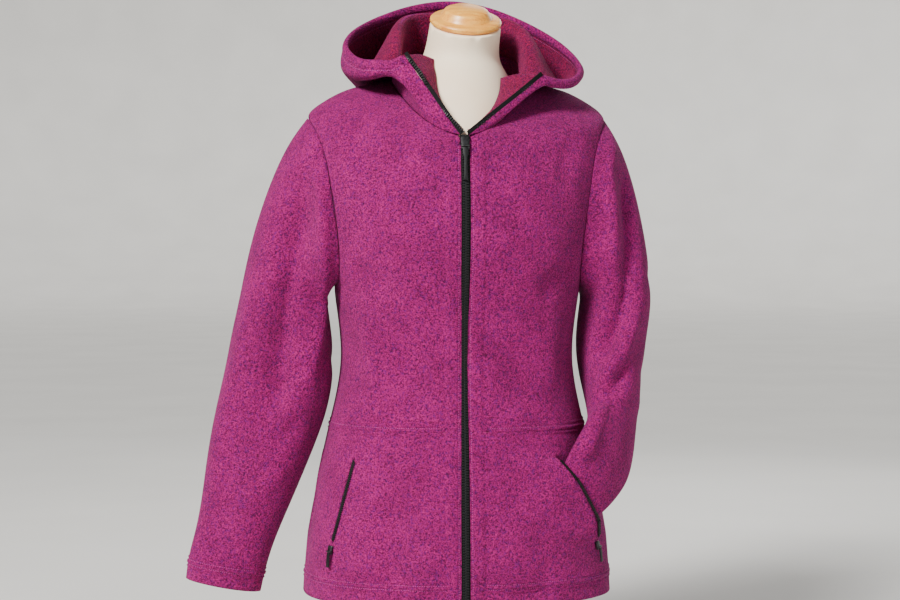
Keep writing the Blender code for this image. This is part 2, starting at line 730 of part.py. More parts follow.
def add_turned(name, profile, finish, steps=40):
    """A turned piece from its profile, which runs from the top centre down the outside to the bottom."""
    bm = bmesh.new()
    verts = [bm.verts.new((radius, 0, height)) for radius, height in profile]
    for first, second in zip(verts, verts[1:]):
        bm.edges.new((first, second))
    mesh = bpy.data.meshes.new(name)
    bm.to_mesh(mesh)
    bm.free()
    obj = bpy.data.objects.new(name, mesh)
    jacket.objects.link(obj)
    mesh.materials.append(finishes[finish])
    screw = obj.modifiers.new("Turn", "SCREW")
    screw.steps = steps
    screw.render_steps = steps
    screw.use_merge_vertices = True
    screw.merge_threshold = 0.00005
    screw.use_smooth_shade = True
    return obj


def form_angles(climb):
    first = edge_angle(climb)
    fronts = [first + (90 - first) * i / FRONT_COLUMNS for i in range(FRONT_COLUMNS + 1)]
    backs = [90 + 180 * i / BACK_COLUMNS for i in range(1, BACK_COLUMNS)]
    return fronts + backs + [360 - angle for angle in fronts[::-1]]


def form_torso():
    """The form's body and neck: rings inside the cloth, then rings round the neck."""
    keys = [row[0] for row in FORM_INSET]
    insets = [row[1] for row in FORM_INSET]
    rings = []
    for climb in FORM_ROWS:
        inset = straight(keys, insets, climb)
        rings.append([body_point(a, climb) - body_normal(a, climb) * inset for a in form_angles(climb)])
    for point in rings[0]:
        point.z = TORSO_BOTTOM
    angles = [math.radians(a) for a in form_angles(NECKLINE)]
    for x, y, z, radius, share in NECK:
        ring = []
        for a in angles:
            across, ahead = radius * math.sin(a), -radius * math.cos(a)
            rise = share * (ahead * math.tan(CAP_TILT) - across * math.tan(CAP_ROLL))
            ring.append(Vector((x + across, y + ahead, z + rise)))
        rings.append(ring)
    shoulder = len(FORM_ROWS)
    between = [(a + b) / 2 for a, b in zip(rings[shoulder - 1], rings[shoulder])]
    rings.insert(shoulder, between)
    bm = bmesh.new()
    made = [[bm.verts.new(point) for point in ring] for ring in rings]
    for ring, following in zip(made, made[1:]):
        for i in range(len(ring)):
            j = (i + 1) % len(ring)
            bm.faces.new((ring[i], ring[j], following[j], following[i]))
    bm.faces.new(made[0][::-1])
    bm.faces.new(made[-1])
    mesh = bpy.data.meshes.new("form_torso")
    bm.to_mesh(mesh)
    bm.free()
    return add_object("form_torso", mesh, "form_cover", 50)


def add_outline(name, outline, thickness, origin, axes, finish):
    """A flat outline given a thickness: axes are the outline's two directions and the thickness's."""
    first, second, third = axes
    bm = bmesh.new()
    verts = [bm.verts.new(first * u + second * v - third * (thickness / 2)) for u, v in outline]
    face = bm.faces.new(verts)
    moved = bmesh.ops.extrude_face_region(bm, geom=[face])["geom"]
    moved = [item for item in moved if isinstance(item, bmesh.types.BMVert)]
    bmesh.ops.translate(bm, vec=third * thickness, verts=moved)
    bmesh.ops.recalc_face_normals(bm, faces=bm.faces)
    mesh = bpy.data.meshes.new(name)
    bm.to_mesh(mesh)
    bm.free()
    obj = add_object(name, mesh, finish)
    obj.location = origin
    return obj


def add_slider(name, seat, up, out, length, width, body_height):
    """A zip slider seated at a point, with a lug for its pull. Returns the pull's axis point."""
    right = up.cross(out).normalized()
    low = -length / 2
    lug = low + LUG_FROM_END
    top = body_height + LUG_HEIGHT
    side_view = (
        (low, 0),
        (-low, 0),
        (-low, body_height * NOSE_HEIGHT),
        (-low * NOSE_LENGTH, body_height),
        (lug + LUG_HALF, body_height),
        (lug + LUG_HALF, top),
        (lug - LUG_HALF, top),
        (lug - LUG_HALF, body_height),
        (low, body_height),
    )
    add_outline(name, side_view, width, seat, (up, out, right), "zip_metal")
    return seat + up * lug + out * (body_height + LUG_HEIGHT - LUG_HALF)


def add_pull(name, axis_point, down, right, profile, finish="zip_plastic"):
    """A pull tab that hangs from its axis: the profile gives distance down and half width."""
    right_side = [(half, distance) for distance, half in profile]
    outline = right_side + [(-half, distance) for distance, half in profile[::-1]]
    facing = right.cross(down).normalized()
    return add_outline(name, outline, PULL_THICKNESS, axis_point, (right, down, facing), finish)


def slanted_frame(side, is_open, z):
    """The panel's point, its way up the pocket line and its outward normal, at a height."""
    heights = (z - POCKET_SLIDER_SPAN[0], z, z + POCKET_SLIDER_SPAN[1])
    low, middle, high = (side_point(side, pocket_angle(h, is_open), h) for h in heights)
    normal = body_normal(pocket_angle(z, is_open), z)
    normal = Vector((side * normal.x, normal.y, normal.z))
    up = (high - low).normalized()
    out = (normal - up * normal.dot(up)).normalized()
    return middle, up, out


jacket = start_scene()
finishes = {name: make_finish(name) for name in FINISHES}

# Cloth, and the zip chains that are sewn between its edges.
lower_right, closed_front, closed_rear = lower_front("front_right_lower", -1, CLOSED_POCKET_COLUMN, False)
lower_left, open_front, open_rear = lower_front("front_left_lower", 1, OPEN_POCKET_COLUMN, True)
hood, left_profiles, right_profiles = hood_sheet("hood_outer")
chain_rows = LOWER_ROWS + UPPER_ROWS[1:]
cloths = [
    lower_right,
    lower_left,
    upper_front("front_right_upper", -1),
    upper_front("front_left_upper", 1),
    back_piece("back_lower", LOWER_ROWS),
    back_piece("back_upper", UPPER_ROWS),
    free_sleeve(),
    tucked_sleeve(),
    hood,
    zip_strip("zip_chain", centre_front_edge(-1, chain_rows), centre_front_edge(1, chain_rows)),
    zip_half("zip_half_left", left_profiles, 1),
    zip_half("zip_half_right", right_profiles, -1),
    pocket_strip("pocket_zip_right", closed_front, closed_rear, -1),
    lip_strip("pocket_zip_left", open_front, 1),
]
shared = shared_normals(cloths)
for cloth in cloths:
    make_wall(cloth, lookup_normals(cloth, shared))

lining = Cloth("hood_lining")
station_count = len(hood.points) // len(HOOD_ROWS)
lining_points = hood.points[LINING_START * station_count :]
lining.sheet([lining_points[k : k + station_count] for k in range(0, len(lining_points), station_count)])
make_wall(lining, lookup_normals(lining, shared), WOOL + SEAM)

# The dress form under it.
form_torso()
neck_top = Vector(NECK[-1][:3])
cap = add_turned("form_neck_cap", CAP_PROFILE[::-1], "turned_wood")
cap.rotation_euler = (CAP_TILT, CAP_ROLL, 0)
cap.location = neck_top + Vector((0, -math.sin(CAP_TILT), math.cos(CAP_TILT))) * SEAM * 1.5
pole_profile = (
    (0, TORSO_BOTTOM - SEAM),
    (POLE_RADIUS, TORSO_BOTTOM - SEAM),
    (POLE_RADIUS, BASE_HEIGHT + SEAM),
    (0, BASE_HEIGHT + SEAM),
)
add_turned("form_pole", pole_profile, "stand_metal", 24)
base_profile = (
    (0, BASE_HEIGHT),
    (BASE_RADIUS - BASE_EDGE, BASE_HEIGHT),
    (BASE_RADIUS, BASE_HEIGHT - BASE_EDGE),
    (BASE_RADIUS, 0),
    (0, 0),
)
add_turned("form_base", base_profile, "turned_wood", 48)

# The main slider and its pull. The slider stands on the chain's highest point under it.
edge_pairs = zip(centre_front_edge(-1, UPPER_ROWS[-6:]), centre_front_edge(1, UPPER_ROWS[-6:]))
ends = [(a + b) / 2 for a, b in edge_pairs]
slider_up = (ends[-1] - ends[0]).normalized()
slider_out = Vector((1, 0, 0)).cross(slider_up)
middle = (ends[-1] + ends[0]) / 2
lift = max((point - middle).dot(slider_out) for point in ends)
seat = middle + slider_out * (lift + SEAM)
axis_point = add_slider("zip_slider", seat, slider_up, slider_out, *MAIN_SLIDER)
lean = math.radians(MAIN_PULL_LEAN)
pull_down = Vector((0, -math.sin(lean), -math.cos(lean)))
add_pull("zip_pull", axis_point, pull_down, Vector((1, 0, 0)), MAIN_PULL)

chain_foot = sum((side_point(side, edge_angle(HEM_Z), HEM_Z) for side in (1, -1)), Vector()) / 2
foot_up = (body_point(0, HEM_Z + END_BOX_SPAN) - body_point(0, HEM_Z)).normalized()
foot_right = Vector((1, 0, 0))
foot_out = foot_right.cross(foot_up)
half_length = END_BOX_LENGTH / 2
foot_seat = chain_foot + foot_up * half_length + foot_out * SEAM
end_view = (
    (-half_length, 0),
    (half_length, 0),
    (half_length, END_BOX_HEIGHT - END_BOX_BEVEL[1]),
    (half_length - END_BOX_BEVEL[0], END_BOX_HEIGHT),
    (-half_length, END_BOX_HEIGHT),
)
foot_axes = (foot_up, foot_out, foot_right)
add_outline("zip_end_box", end_view, END_BOX_WIDTH, foot_seat, foot_axes, "zip_plastic")

for name, side, is_open in (("right", -1, False), ("left", 1, True)):
    point, up, out = slanted_frame(side, is_open, POCKET_SLIDER_Z)
    axis_point = add_slider(f"pocket_slider_{name}", point + out * POCKET_SEAT, up, out, *POCKET_SLIDER)
    lean = math.radians(POCKET_PULL_LEAN)
    down = -up * math.cos(lean) - out * math.sin(lean)
    right = up.cross(out).normalized()
    add_pull(f"pocket_pull_{name}", axis_point, down, right, POCKET_PULL)
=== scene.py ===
import math

import bmesh
import bpy
import numpy as np
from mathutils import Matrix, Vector
from mathutils.bvhtree import BVHTree


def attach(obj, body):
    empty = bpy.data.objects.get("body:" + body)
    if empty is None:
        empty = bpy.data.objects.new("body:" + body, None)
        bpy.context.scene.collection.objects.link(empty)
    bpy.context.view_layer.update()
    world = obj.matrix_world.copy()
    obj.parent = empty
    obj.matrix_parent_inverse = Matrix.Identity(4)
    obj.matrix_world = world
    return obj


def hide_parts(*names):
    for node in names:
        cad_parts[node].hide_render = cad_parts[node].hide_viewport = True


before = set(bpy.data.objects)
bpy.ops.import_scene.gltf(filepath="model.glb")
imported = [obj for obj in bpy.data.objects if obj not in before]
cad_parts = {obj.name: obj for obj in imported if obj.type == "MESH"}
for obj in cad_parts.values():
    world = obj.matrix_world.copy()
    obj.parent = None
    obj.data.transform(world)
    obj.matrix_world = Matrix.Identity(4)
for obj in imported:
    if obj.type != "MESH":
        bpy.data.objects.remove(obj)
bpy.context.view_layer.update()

HOME = "jacket_on_form"
WOOL = 0.0024  # one layer of boiled wool
SHORTEST_CELL = 1.3 * WOOL  # a cloth face with a shorter edge belongs to the wall's rim
LEVELS = 3  # of subdivision that round the cloth
FORM_LEVELS = 2  # and the dress form
MERGE = 0.00001  # vertices closer than this are one
SEED_FACING = 0.6  # the least cosine between a sheet's first face and the side it is seen from
PATH_STEP = 0.004  # between two places of a path laid on the cloth


def linear(text):
    """A colour from its sRGB hex value."""
    parts = [int(text[i : i + 2], 16) / 255 for i in (1, 3, 5)]
    return tuple(c / 12.92 if c <= 0.04045 else ((c + 0.055) / 1.055) ** 2.4 for c in parts) + (1.0,)


def add(tree, kind, inputs=None, stops=(), **settings):
    """Adds a shader node; an input is a value or another node's output, a stop is (place, hex colour)."""
    made = tree.nodes.new("ShaderNode" + kind)
    for k, (place, colour) in enumerate(stops):
        element = made.color_ramp.elements[k] if k < 2 else made.color_ramp.elements.new(place)
        element.position = place
        element.color = linear(colour)
    for name, value in settings.items():
        setattr(made, name, value)
    for name, value in (inputs or {}).items():
        if isinstance(value, bpy.types.NodeSocket):
            tree.links.new(value, made.inputs[name])
        else:
            made.inputs[name].default_value = value
    return made


def new_finish(name, roughness, metallic=0.0, **sockets):
    """An empty material with its shader's own sockets set."""
    made = bpy.data.materials.new(name)
    made.use_nodes = True
    tree = made.node_tree
    shader = tree.nodes["Principled BSDF"]
    shader.inputs["Roughness"].default_value = roughness
    shader.inputs["Metallic"].default_value = metallic
    for socket, value in sockets.items():
        shader.inputs[socket.replace("_", " ")].default_value = value
    return made, tree, shader


def felted_wool(name, middle, pink, violet):
    """Boiled wool: knitted, then shrunk to a dense felt with a short nap."""
    made, tree, shader = new_finish(name, 0.95, Sheen_Weight=0.14, Sheen_Roughness=0.35)
    shader.inputs["Sheen Tint"].default_value = linear("#E878C4")
    shader.inputs["Specular IOR Level"].default_value = 0.2
    place = add(tree, "TexCoord").outputs["Object"]
    # Tufts of pink-red and violet wool 2 to 4 mm across, and matted fibres 1 to 2 mm across.
    tufts = add(tree, "TexNoise", {"Vector": place, "Scale": 270.0, "Detail": 3.0, "Roughness": 0.7})
    fibres = add(tree, "TexNoise", {"Vector": place, "Scale": 520.0, "Detail": 2.0, "Roughness": 0.6})
    patches = add(tree, "TexNoise", {"Vector": place, "Scale": 22.0, "Detail": 4.0, "Roughness": 0.6})
    wools = ((0.38, violet), (0.47, middle), (0.53, middle), (0.62, pink))
    melange = add(tree, "ValToRGB", {"Fac": tufts.outputs["Fac"]}, wools).outputs["Color"]
    # Painted shade: the fine fibre noise darkens the wool in the hollows between the matted fibres, and is multiplied
    # into the melange of tufts.
    painted_fibre_shade = ((0.36, "#3C3C3C"), (0.58, "#FFFFFF"), (0.72, "#FFFFFF"))
    shade = add(tree, "ValToRGB", {"Fac": fibres.outputs["Fac"]}, painted_fibre_shade).outputs["Color"]
    flecks_and_shade = add(tree, "Mix", {0: 0.75, 6: melange, 7: shade}, data_type="RGBA", blend_type="MULTIPLY")
    wear = ((0.35, "#D2CCD2"), (0.65, "#FFFFFF"))
    worn = add(tree, "ValToRGB", {"Fac": patches.outputs["Fac"]}, wear).outputs["Color"]
    whole = add(tree, "Mix", {0: 0.7, 6: flecks_and_shade.outputs[2], 7: worn}, data_type="RGBA", blend_type="MULTIPLY")
    tree.links.new(whole.outputs[2], shader.inputs["Base Color"])
    rise = add(tree, "Math", {0: tufts.outputs["Fac"], 1: 0.8}, operation="MULTIPLY")
    height = add(tree, "Math", {0: rise.outputs[0], 1: fibres.outputs["Fac"]}, operation="ADD")
    bump = add(tree, "Bump", {"Strength": 1.0, "Distance": 0.0030, "Height": height.outputs[0]})
    tree.links.new(bump.outputs["Normal"], shader.inputs["Normal"])
    return made


def woven_tape():
    """Polyester zip tape: black yarn in a tight weave, its ribs 0.6 mm apart, dull."""
    made, tree, shader = new_finish("black_woven_zip_tape", 0.8, Specular_IOR_Level=0.2)
    place = add(tree, "TexCoord").outputs["Object"]
    ribs = add(tree, "TexWave", {"Vector": place, "Scale": 260.0, "Distortion": 1.0}, bands_direction="Z")
    yarns = ((0.2, "#040405"), (0.8, "#0E0E10"))
    colour = add(tree, "ValToRGB", {"Fac": ribs.outputs["Fac"]}, yarns).outputs["Color"]
    tree.links.new(colour, shader.inputs["Base Color"])
    bump = add(tree, "Bump", {"Strength": 0.5, "Distance": 0.0003, "Height": ribs.outputs["Fac"]})
    tree.links.new(bump.outputs["Normal"], shader.inputs["Normal"])
    return made


def moulded_black(name, roughness, colour, worn):
    """Acetal zip parts: moulded smooth, so edges glint grey under a soft light."""
    made, tree, shader = new_finish(name, roughness, IOR=1.48, Specular_IOR_Level=0.3)
    place = add(tree, "TexCoord").outputs["Object"]
    grain = add(tree, "TexNoise", {"Vector": place, "Scale": 700.0, "Detail": 2.0})
    mixed = add(tree, "ValToRGB", {"Fac": grain.outputs["Fac"]}, ((0.35, colour), (0.75, worn)))
    tree.links.new(mixed.outputs["Color"], shader.inputs["Base Color"])
    bump = add(tree, "Bump", {"Strength": 0.15, "Distance": 0.0003, "Height": grain.outputs["Fac"]})
    tree.links.new(bump.outputs["Normal"], shader.inputs["Normal"])
    return made


def enamelled_zinc():
    """A die-cast zinc slider under black enamel: a soft gloss with rubbed, greyer spots."""
    made, tree, shader = new_finish("black_enamelled_zinc", 0.35, Coat_Weight=0.2, Coat_Roughness=0.2)
    place = add(tree, "TexCoord").outputs["Object"]
    rubbed = add(tree, "TexNoise", {"Vector": place, "Scale": 420.0, "Detail": 3.0})
    mixed = add(tree, "ValToRGB", {"Fac": rubbed.outputs["Fac"]}, ((0.45, "#070708"), (0.75, "#262629")))
    tree.links.new(mixed.outputs["Color"], shader.inputs["Base Color"])
    return made


def stretched_jersey():
    """Cotton jersey stretched over the form: cream, with fine knitted ribs 1 mm apart."""
    made, tree, shader = new_finish("cream_stretched_jersey", 0.6, Sheen_Weight=0.15)
    place = add(tree, "TexCoord").outputs["Object"]
    ribs = add(tree, "TexWave", {"Vector": place, "Scale": 160.0, "Distortion": 0.6}, bands_direction="X")
    cloud = add(tree, "TexNoise", {"Vector": place, "Scale": 14.0, "Detail": 3.0})
    mixed = add(tree, "ValToRGB", {"Fac": cloud.outputs["Fac"]}, ((0.3, "#F6DDBE"), (0.7, "#FBE9CE")))
    tree.links.new(mixed.outputs["Color"], shader.inputs["Base Color"])
    bump = add(tree, "Bump", {"Strength": 0.12, "Distance": 0.0002, "Height": ribs.outputs["Fac"]})
    tree.links.new(bump.outputs["Normal"], shader.inputs["Normal"])
    return made


def lacquered_beech():
    """Turned beech under clear lacquer: pale tan, straight fine grain with short flecks, a satin sheen."""
    made, tree, shader = new_finish("lacquered_turned_beech", 0.42, Coat_Weight=0.25, Coat_Roughness=0.25)
    place = add(tree, "TexCoord").outputs["Object"]
    along = add(tree, "Mapping", {"Vector": place, "Scale": (1.0, 9.0, 9.0)})
    grain = add(tree, "TexNoise", {"Vector": along.outputs[0], "Scale": 22.0, "Detail": 5.0, "Distortion": 0.4})
    flecks = add(tree, "Mapping", {"Vector": place, "Scale": (1.0, 6.0, 6.0)})
    pores = add(tree, "TexNoise", {"Vector": flecks.outputs[0], "Scale": 260.0, "Detail": 2.0})
    years = ((0.3, "#D8862A"), (0.5, "#EFA63C"), (0.72, "#F7BA54"))
    body = add(tree, "ValToRGB", {"Fac": grain.outputs["Fac"]}, years).outputs["Color"]
    specks = ((0.35, "#B9814A"), (0.5, "#FFFFFF"))
    fine = add(tree, "ValToRGB", {"Fac": pores.outputs["Fac"]}, specks).outputs["Color"]
    whole = add(tree, "Mix", {0: 0.35, 6: body, 7: fine}, data_type="RGBA", blend_type="MULTIPLY")
    tree.links.new(whole.outputs[2], shader.inputs["Base Color"])
    bump = add(tree, "Bump", {"Strength": 0.1, "Distance": 0.0002, "Height": pores.outputs["Fac"]})
    tree.links.new(bump.outputs["Normal"], shader.inputs["Normal"])
    return made


def painted_steel():
    """A steel tube under dark grey powder paint, faintly pebbled."""
    made, tree, shader = new_finish("dark_powder_coated_steel", 0.45)
    place = add(tree, "TexCoord").outputs["Object"]
    pebble = add(tree, "TexNoise", {"Vector": place, "Scale": 900.0, "Detail": 2.0})
    mixed = add(tree, "ValToRGB", {"Fac": pebble.outputs["Fac"]}, ((0.3, "#2A2B2D"), (0.7, "#3B3C3F")))
    tree.links.new(mixed.outputs["Color"], shader.inputs["Base Color"])
    bump = add(tree, "Bump", {"Strength": 0.25, "Distance": 0.0003, "Height": pebble.outputs["Fac"]})
    tree.links.new(bump.outputs["Normal"], shader.inputs["Normal"])
    return made


def spun_thread():
    """Magenta polyester thread: twisted, smooth, a little brighter than the wool."""
    made, tree, shader = new_finish("magenta_sewing_thread", 0.5, Sheen_Weight=0.2)
    place = add(tree, "TexCoord").outputs["Object"]
    twist = add(tree, "TexNoise", {"Vector": place, "Scale": 1500.0, "Detail": 1.0})
    mixed = add(tree, "ValToRGB", {"Fac": twist.outputs["Fac"]}, ((0.3, "#8E1E6C"), (0.7, "#B93A92")))
    tree.links.new(mixed.outputs["Color"], shader.inputs["Base Color"])
    return made


wool = felted_wool("magenta_boiled_wool", "#A2166E", "#B41E76", "#7C1670")
wool_inside = felted_wool("magenta_boiled_wool_inside", "#8E0F4A", "#A4164A", "#6A124C")
tape = woven_tape()
teeth_black = moulded_black("black_moulded_acetal_teeth", 0.45, "#0A0A0B", "#1E1E21")
pull_black = moulded_black("black_moulded_pull", 0.45, "#060607", "#141417")
enamel = enamelled_zinc()
jersey = stretched_jersey()
beech = lacquered_beech()
steel = painted_steel()
thread = spun_thread()


def add_piece(name, bm, finish, body=HOME, flat_shaded=False):
    """Turns a bmesh into a piece that rides on a body."""
    mesh = bpy.data.meshes.new(name)
    bm.to_mesh(mesh)
    bm.free()
    mesh.materials.append(finish)
    if not flat_shaded:
        mesh.shade_smooth()
    obj = bpy.data.objects.new(name, mesh)
    bpy.context.scene.collection.objects.link(obj)
    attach(obj, body)
    return obj


def merged_copy(node):
    """A CAD node's mesh with its doubled vertices made one."""
    bm = bmesh.new()
    bm.from_mesh(bpy.data.objects[node].data)
    bmesh.ops.remove_doubles(bm, verts=bm.verts, dist=MERGE)
    return bm


def join_quads(bm):
    """Joins pairs of triangles back into the four-sided faces that they were cut from."""
    bmesh.ops.join_triangles(
        bm, faces=bm.faces, angle_face_threshold=math.radians(60), angle_shape_threshold=math.radians(50)
    )


def outer_sheet(node, way):
    """One side of a cloth wall: the side whose face lies furthest along way and faces that way."""
    way = Vector(way)
    bm = merged_copy(node)
    rims = [f for f in bm.faces if min(e.calc_length() for e in f.edges) < SHORTEST_CELL]
    bmesh.ops.delete(bm, geom=rims, context="FACES")
    facing = [f for f in bm.faces if f.normal.dot(way) > SEED_FACING]
    first = max(facing, key=lambda f: f.calc_center_median().dot(way))
    kept = {first}
    waiting = [first]
    while waiting:
        for edge in waiting.pop().edges:
            for face in edge.link_faces:
                if face not in kept:
                    kept.add(face)
                    waiting.append(face)
    bmesh.ops.delete(bm, geom=[f for f in bm.faces if f not in kept], context="FACES")
    join_quads(bm)
    return bm


def rounded(bm, levels=LEVELS):
    """The sheet after subdivision, as a new bmesh."""
    mesh = bpy.data.meshes.new("rounding")
    bm.to_mesh(mesh)
    bm.free()
    obj = bpy.data.objects.new("rounding", mesh)
    bpy.context.scene.collection.objects.link(obj)
    smoothing = obj.modifiers.new("Round", "SUBSURF")
    smoothing.levels = smoothing.render_levels = levels
    smoothing.boundary_smooth = "PRESERVE_CORNERS"
    smooth_mesh = bpy.data.meshes.new_from_object(obj.evaluated_get(bpy.context.evaluated_depsgraph_get()))
    bpy.data.objects.remove(obj, do_unlink=True)
    made = bmesh.new()
    made.from_mesh(smooth_mesh)
    bpy.data.meshes.remove(smooth_mesh)
    bpy.data.meshes.remove(mesh)
    return made


# Where each cloth piece's visible side lies, its group for the folds, the size of its flat cut in metres, the
# built piece's own area in square metres, and the node that it rests on.
# node, way, group, finish, slot, width, length, area, rests on
CLOTHS = (
    ("front_right_upper", (0, -1, 0), "body", wool, "boiled_wool", 0.245, 0.475, 0.0969, "form_torso"),
    ("front_left_upper", (0, -1, 0), "body", wool, "boiled_wool", 0.245, 0.475, 0.0969, "form_torso"),
    ("front_right_lower", (0, -1, 0), "body", wool, "boiled_wool", 0.285, 0.236, 0.0601, "form_torso"),
    ("front_left_lower", (0, -1, 0), "body", wool, "boiled_wool", 0.285, 0.240, 0.0610, "form_torso"),
    ("back_upper", (0, 1, 0), "body", wool, "boiled_wool", 0.480, 0.500, 0.2037, "form_torso"),
    ("back_lower", (0, 1, 0), "body", wool, "boiled_wool", 0.530, 0.236, 0.1193, "form_torso"),
    ("sleeve_right", (-1, 0, 0), "sleeve_right", wool, "boiled_wool", 0.460, 0.680, 0.2050, "form_torso"),
    ("sleeve_left", (1, 0, 0), "sleeve_left", wool, "boiled_wool", 0.460, 0.690, 0.1693, "form_torso"),
    ("hood_outer", (0, 1, 0), "hood", wool, "boiled_wool", 0.750, 0.340, 0.1765, "back_upper"),
    ("hood_lining", (0, 0, 1), "hood", wool_inside, "hood_lining_wool", 0.720, 0.320, 0.1559, "hood_outer"),
)

# Creases and rolls, as soft troughs (depth below 0) and ridges (above 0) along listed paths. A path's
# places are (across, height): across is x on the front and the back, and y on the sides.
# group, side, width, depth, path
CREASES = (
    # The free sleeve, front: a broad trough down its middle, with a roll at either side.
    ("sleeve_right", "front", 0.026, -0.0200,
     ((-0.206, 0.75), (-0.213, 0.68), (-0.222, 0.60), (-0.231, 0.52), (-0.245, 0.43), (-0.262, 0.33))),
    ("sleeve_right", "front", 0.012, 0.0100,
     ((-0.190, 0.76), (-0.184, 0.69), (-0.181, 0.62), (-0.184, 0.55), (-0.192, 0.48), (-0.202, 0.42))),
    ("sleeve_right", "front", 0.016, 0.0040,
     ((-0.275, 0.61), (-0.282, 0.53), (-0.305, 0.44), (-0.322, 0.36), (-0.335, 0.27))),
    ("sleeve_right", "front", 0.010, -0.0045, ((-0.200, 0.47), (-0.225, 0.445), (-0.250, 0.43))),
    ("sleeve_right", "front", 0.010, -0.0040, ((-0.205, 0.40), (-0.232, 0.375), (-0.258, 0.36))),
    ("sleeve_right", "front", 0.012, 0.0022, ((-0.225, 0.34), (-0.262, 0.30), (-0.300, 0.285))),
    ("sleeve_right", "front", 0.010, -0.0020, ((-0.262, 0.235), (-0.300, 0.222), (-0.330, 0.226))),
    ("sleeve_right", "back", 0.018, -0.0050,
     ((-0.232, 0.66), (-0.248, 0.56), (-0.262, 0.46), (-0.285, 0.36))),
    ("sleeve_right", "back", 0.011, 0.0034, ((-0.205, 0.66), (-0.196, 0.58), (-0.197, 0.50))),
    ("sleeve_right", "back", 0.010, -0.0030, ((-0.215, 0.46), (-0.245, 0.435), (-0.280, 0.43))),
    ("sleeve_right", "back", 0.011, -0.0026, ((-0.225, 0.36), (-0.262, 0.335), (-0.300, 0.335))),
    ("sleeve_right", "left", 0.012, -0.0026, ((-0.030, 0.50), (0.000, 0.47), (0.030, 0.455))),
    # The tucked sleeve, front: a roll from the shoulder, then two long folds down to the pocket.
    ("sleeve_left", "front", 0.011, 0.0085,
     ((0.192, 0.790), (0.196, 0.725), (0.201, 0.660), (0.201, 0.610), (0.197, 0.560))),
    ("sleeve_left", "front", 0.014, -0.0130, ((0.222, 0.740), (0.229, 0.67), (0.228, 0.60), (0.218, 0.53))),
    ("sleeve_left", "front", 0.012, 0.0100,
     ((0.238, 0.552), (0.226, 0.515), (0.211, 0.482), (0.194, 0.452), (0.178, 0.430))),
    ("sleeve_left", "front", 0.015, -0.0130,
     ((0.232, 0.580), (0.215, 0.535), (0.198, 0.500), (0.182, 0.470))),
    ("sleeve_left", "front", 0.013, -0.0110,
     ((0.226, 0.470), (0.212, 0.450), (0.196, 0.428), (0.178, 0.402))),
    ("sleeve_left", "front", 0.010, 0.0075,
     ((0.212, 0.446), (0.188, 0.416), (0.174, 0.392), (0.164, 0.360), (0.158, 0.335))),
    ("sleeve_left", "left", 0.012, -0.0030, ((-0.040, 0.600), (0.000, 0.570), (0.040, 0.560))),
    ("sleeve_left", "left", 0.013, -0.0016, ((-0.055, 0.470), (-0.020, 0.450), (0.030, 0.455))),
    ("sleeve_left", "left", 0.011, 0.0014, ((-0.060, 0.430), (-0.030, 0.410), (0.010, 0.405))),
    ("sleeve_left", "back", 0.014, -0.0050, ((0.240, 0.60), (0.222, 0.54), (0.205, 0.49), (0.195, 0.45))),
    ("sleeve_left", "back", 0.011, 0.0040, ((0.235, 0.50), (0.214, 0.46), (0.196, 0.43))),
    # The body, front: the bust's pull towards the underarms, the waist's slack and the hem's slow waves.
    ("body", "front", 0.016, -0.0050, ((-0.150, 0.600), (-0.120, 0.585), (-0.085, 0.560))),
    ("body", "front", 0.016, -0.0045, ((0.152, 0.600), (0.122, 0.580), (0.090, 0.552))),
    ("body", "front", 0.020, 0.0045, ((-0.135, 0.545), (-0.118, 0.480), (-0.112, 0.420))),
    ("body", "front", 0.020, 0.0042, ((0.134, 0.545), (0.116, 0.480), (0.110, 0.420))),
    ("body", "front", 0.022, -0.0045, ((-0.075, 0.520), (-0.070, 0.450), (-0.076, 0.395))),
    ("body", "front", 0.022, -0.0040, ((0.072, 0.520), (0.068, 0.450), (0.074, 0.395))),
    ("body", "front", 0.014, -0.0050, ((-0.150, 0.790), (-0.132, 0.745), (-0.118, 0.690))),
    ("body", "front", 0.014, -0.0045, ((0.152, 0.790), (0.136, 0.745), (0.124, 0.690))),
    ("body", "front", 0.024, 0.0045, ((-0.045, 0.165), (-0.050, 0.230), (-0.052, 0.300))),
    ("body", "front", 0.024, -0.0045, ((-0.100, 0.165), (-0.098, 0.230), (-0.092, 0.310))),
    ("body", "front", 0.026, 0.0045, ((0.060, 0.165), (0.064, 0.230), (0.070, 0.300))),
    ("body", "front", 0.022, -0.0040, ((0.110, 0.165), (0.104, 0.220))),
    # The body, back: a shallow hollow down the spine, slack at the waist, waves in the hem.
    ("body", "back", 0.028, -0.0035, ((0.000, 0.640), (0.002, 0.520), (-0.002, 0.400))),
    ("body", "back", 0.014, -0.0028, ((-0.120, 0.470), (-0.070, 0.455), (-0.020, 0.462))),
    ("body", "back", 0.013, -0.0026, ((0.110, 0.500), (0.065, 0.482), (0.020, 0.490))),
    ("body", "back", 0.014, -0.0030, ((-0.150, 0.640), (-0.110, 0.600), (-0.080, 0.550))),
    ("body", "back", 0.014, -0.0030, ((0.152, 0.630), (0.112, 0.595), (0.078, 0.540))),
    ("body", "back", 0.026, 0.0028, ((-0.080, 0.165), (-0.082, 0.240), (-0.076, 0.330))),
    ("body", "back", 0.024, -0.0026, ((-0.020, 0.165), (-0.018, 0.240), (-0.016, 0.300))),
    ("body", "back", 0.028, 0.0026, ((0.055, 0.165), (0.058, 0.250), (0.050, 0.340))),
    ("body", "back", 0.022, -0.0024, ((0.125, 0.165), (0.122, 0.240), (0.112, 0.320))),
    ("body", "right", 0.016, -0.0026, ((-0.020, 0.165), (-0.016, 0.240), (-0.010, 0.320))),
    ("body", "left", 0.016, -0.0026, ((0.030, 0.165), (0.026, 0.240), (0.018, 0.320))),
)
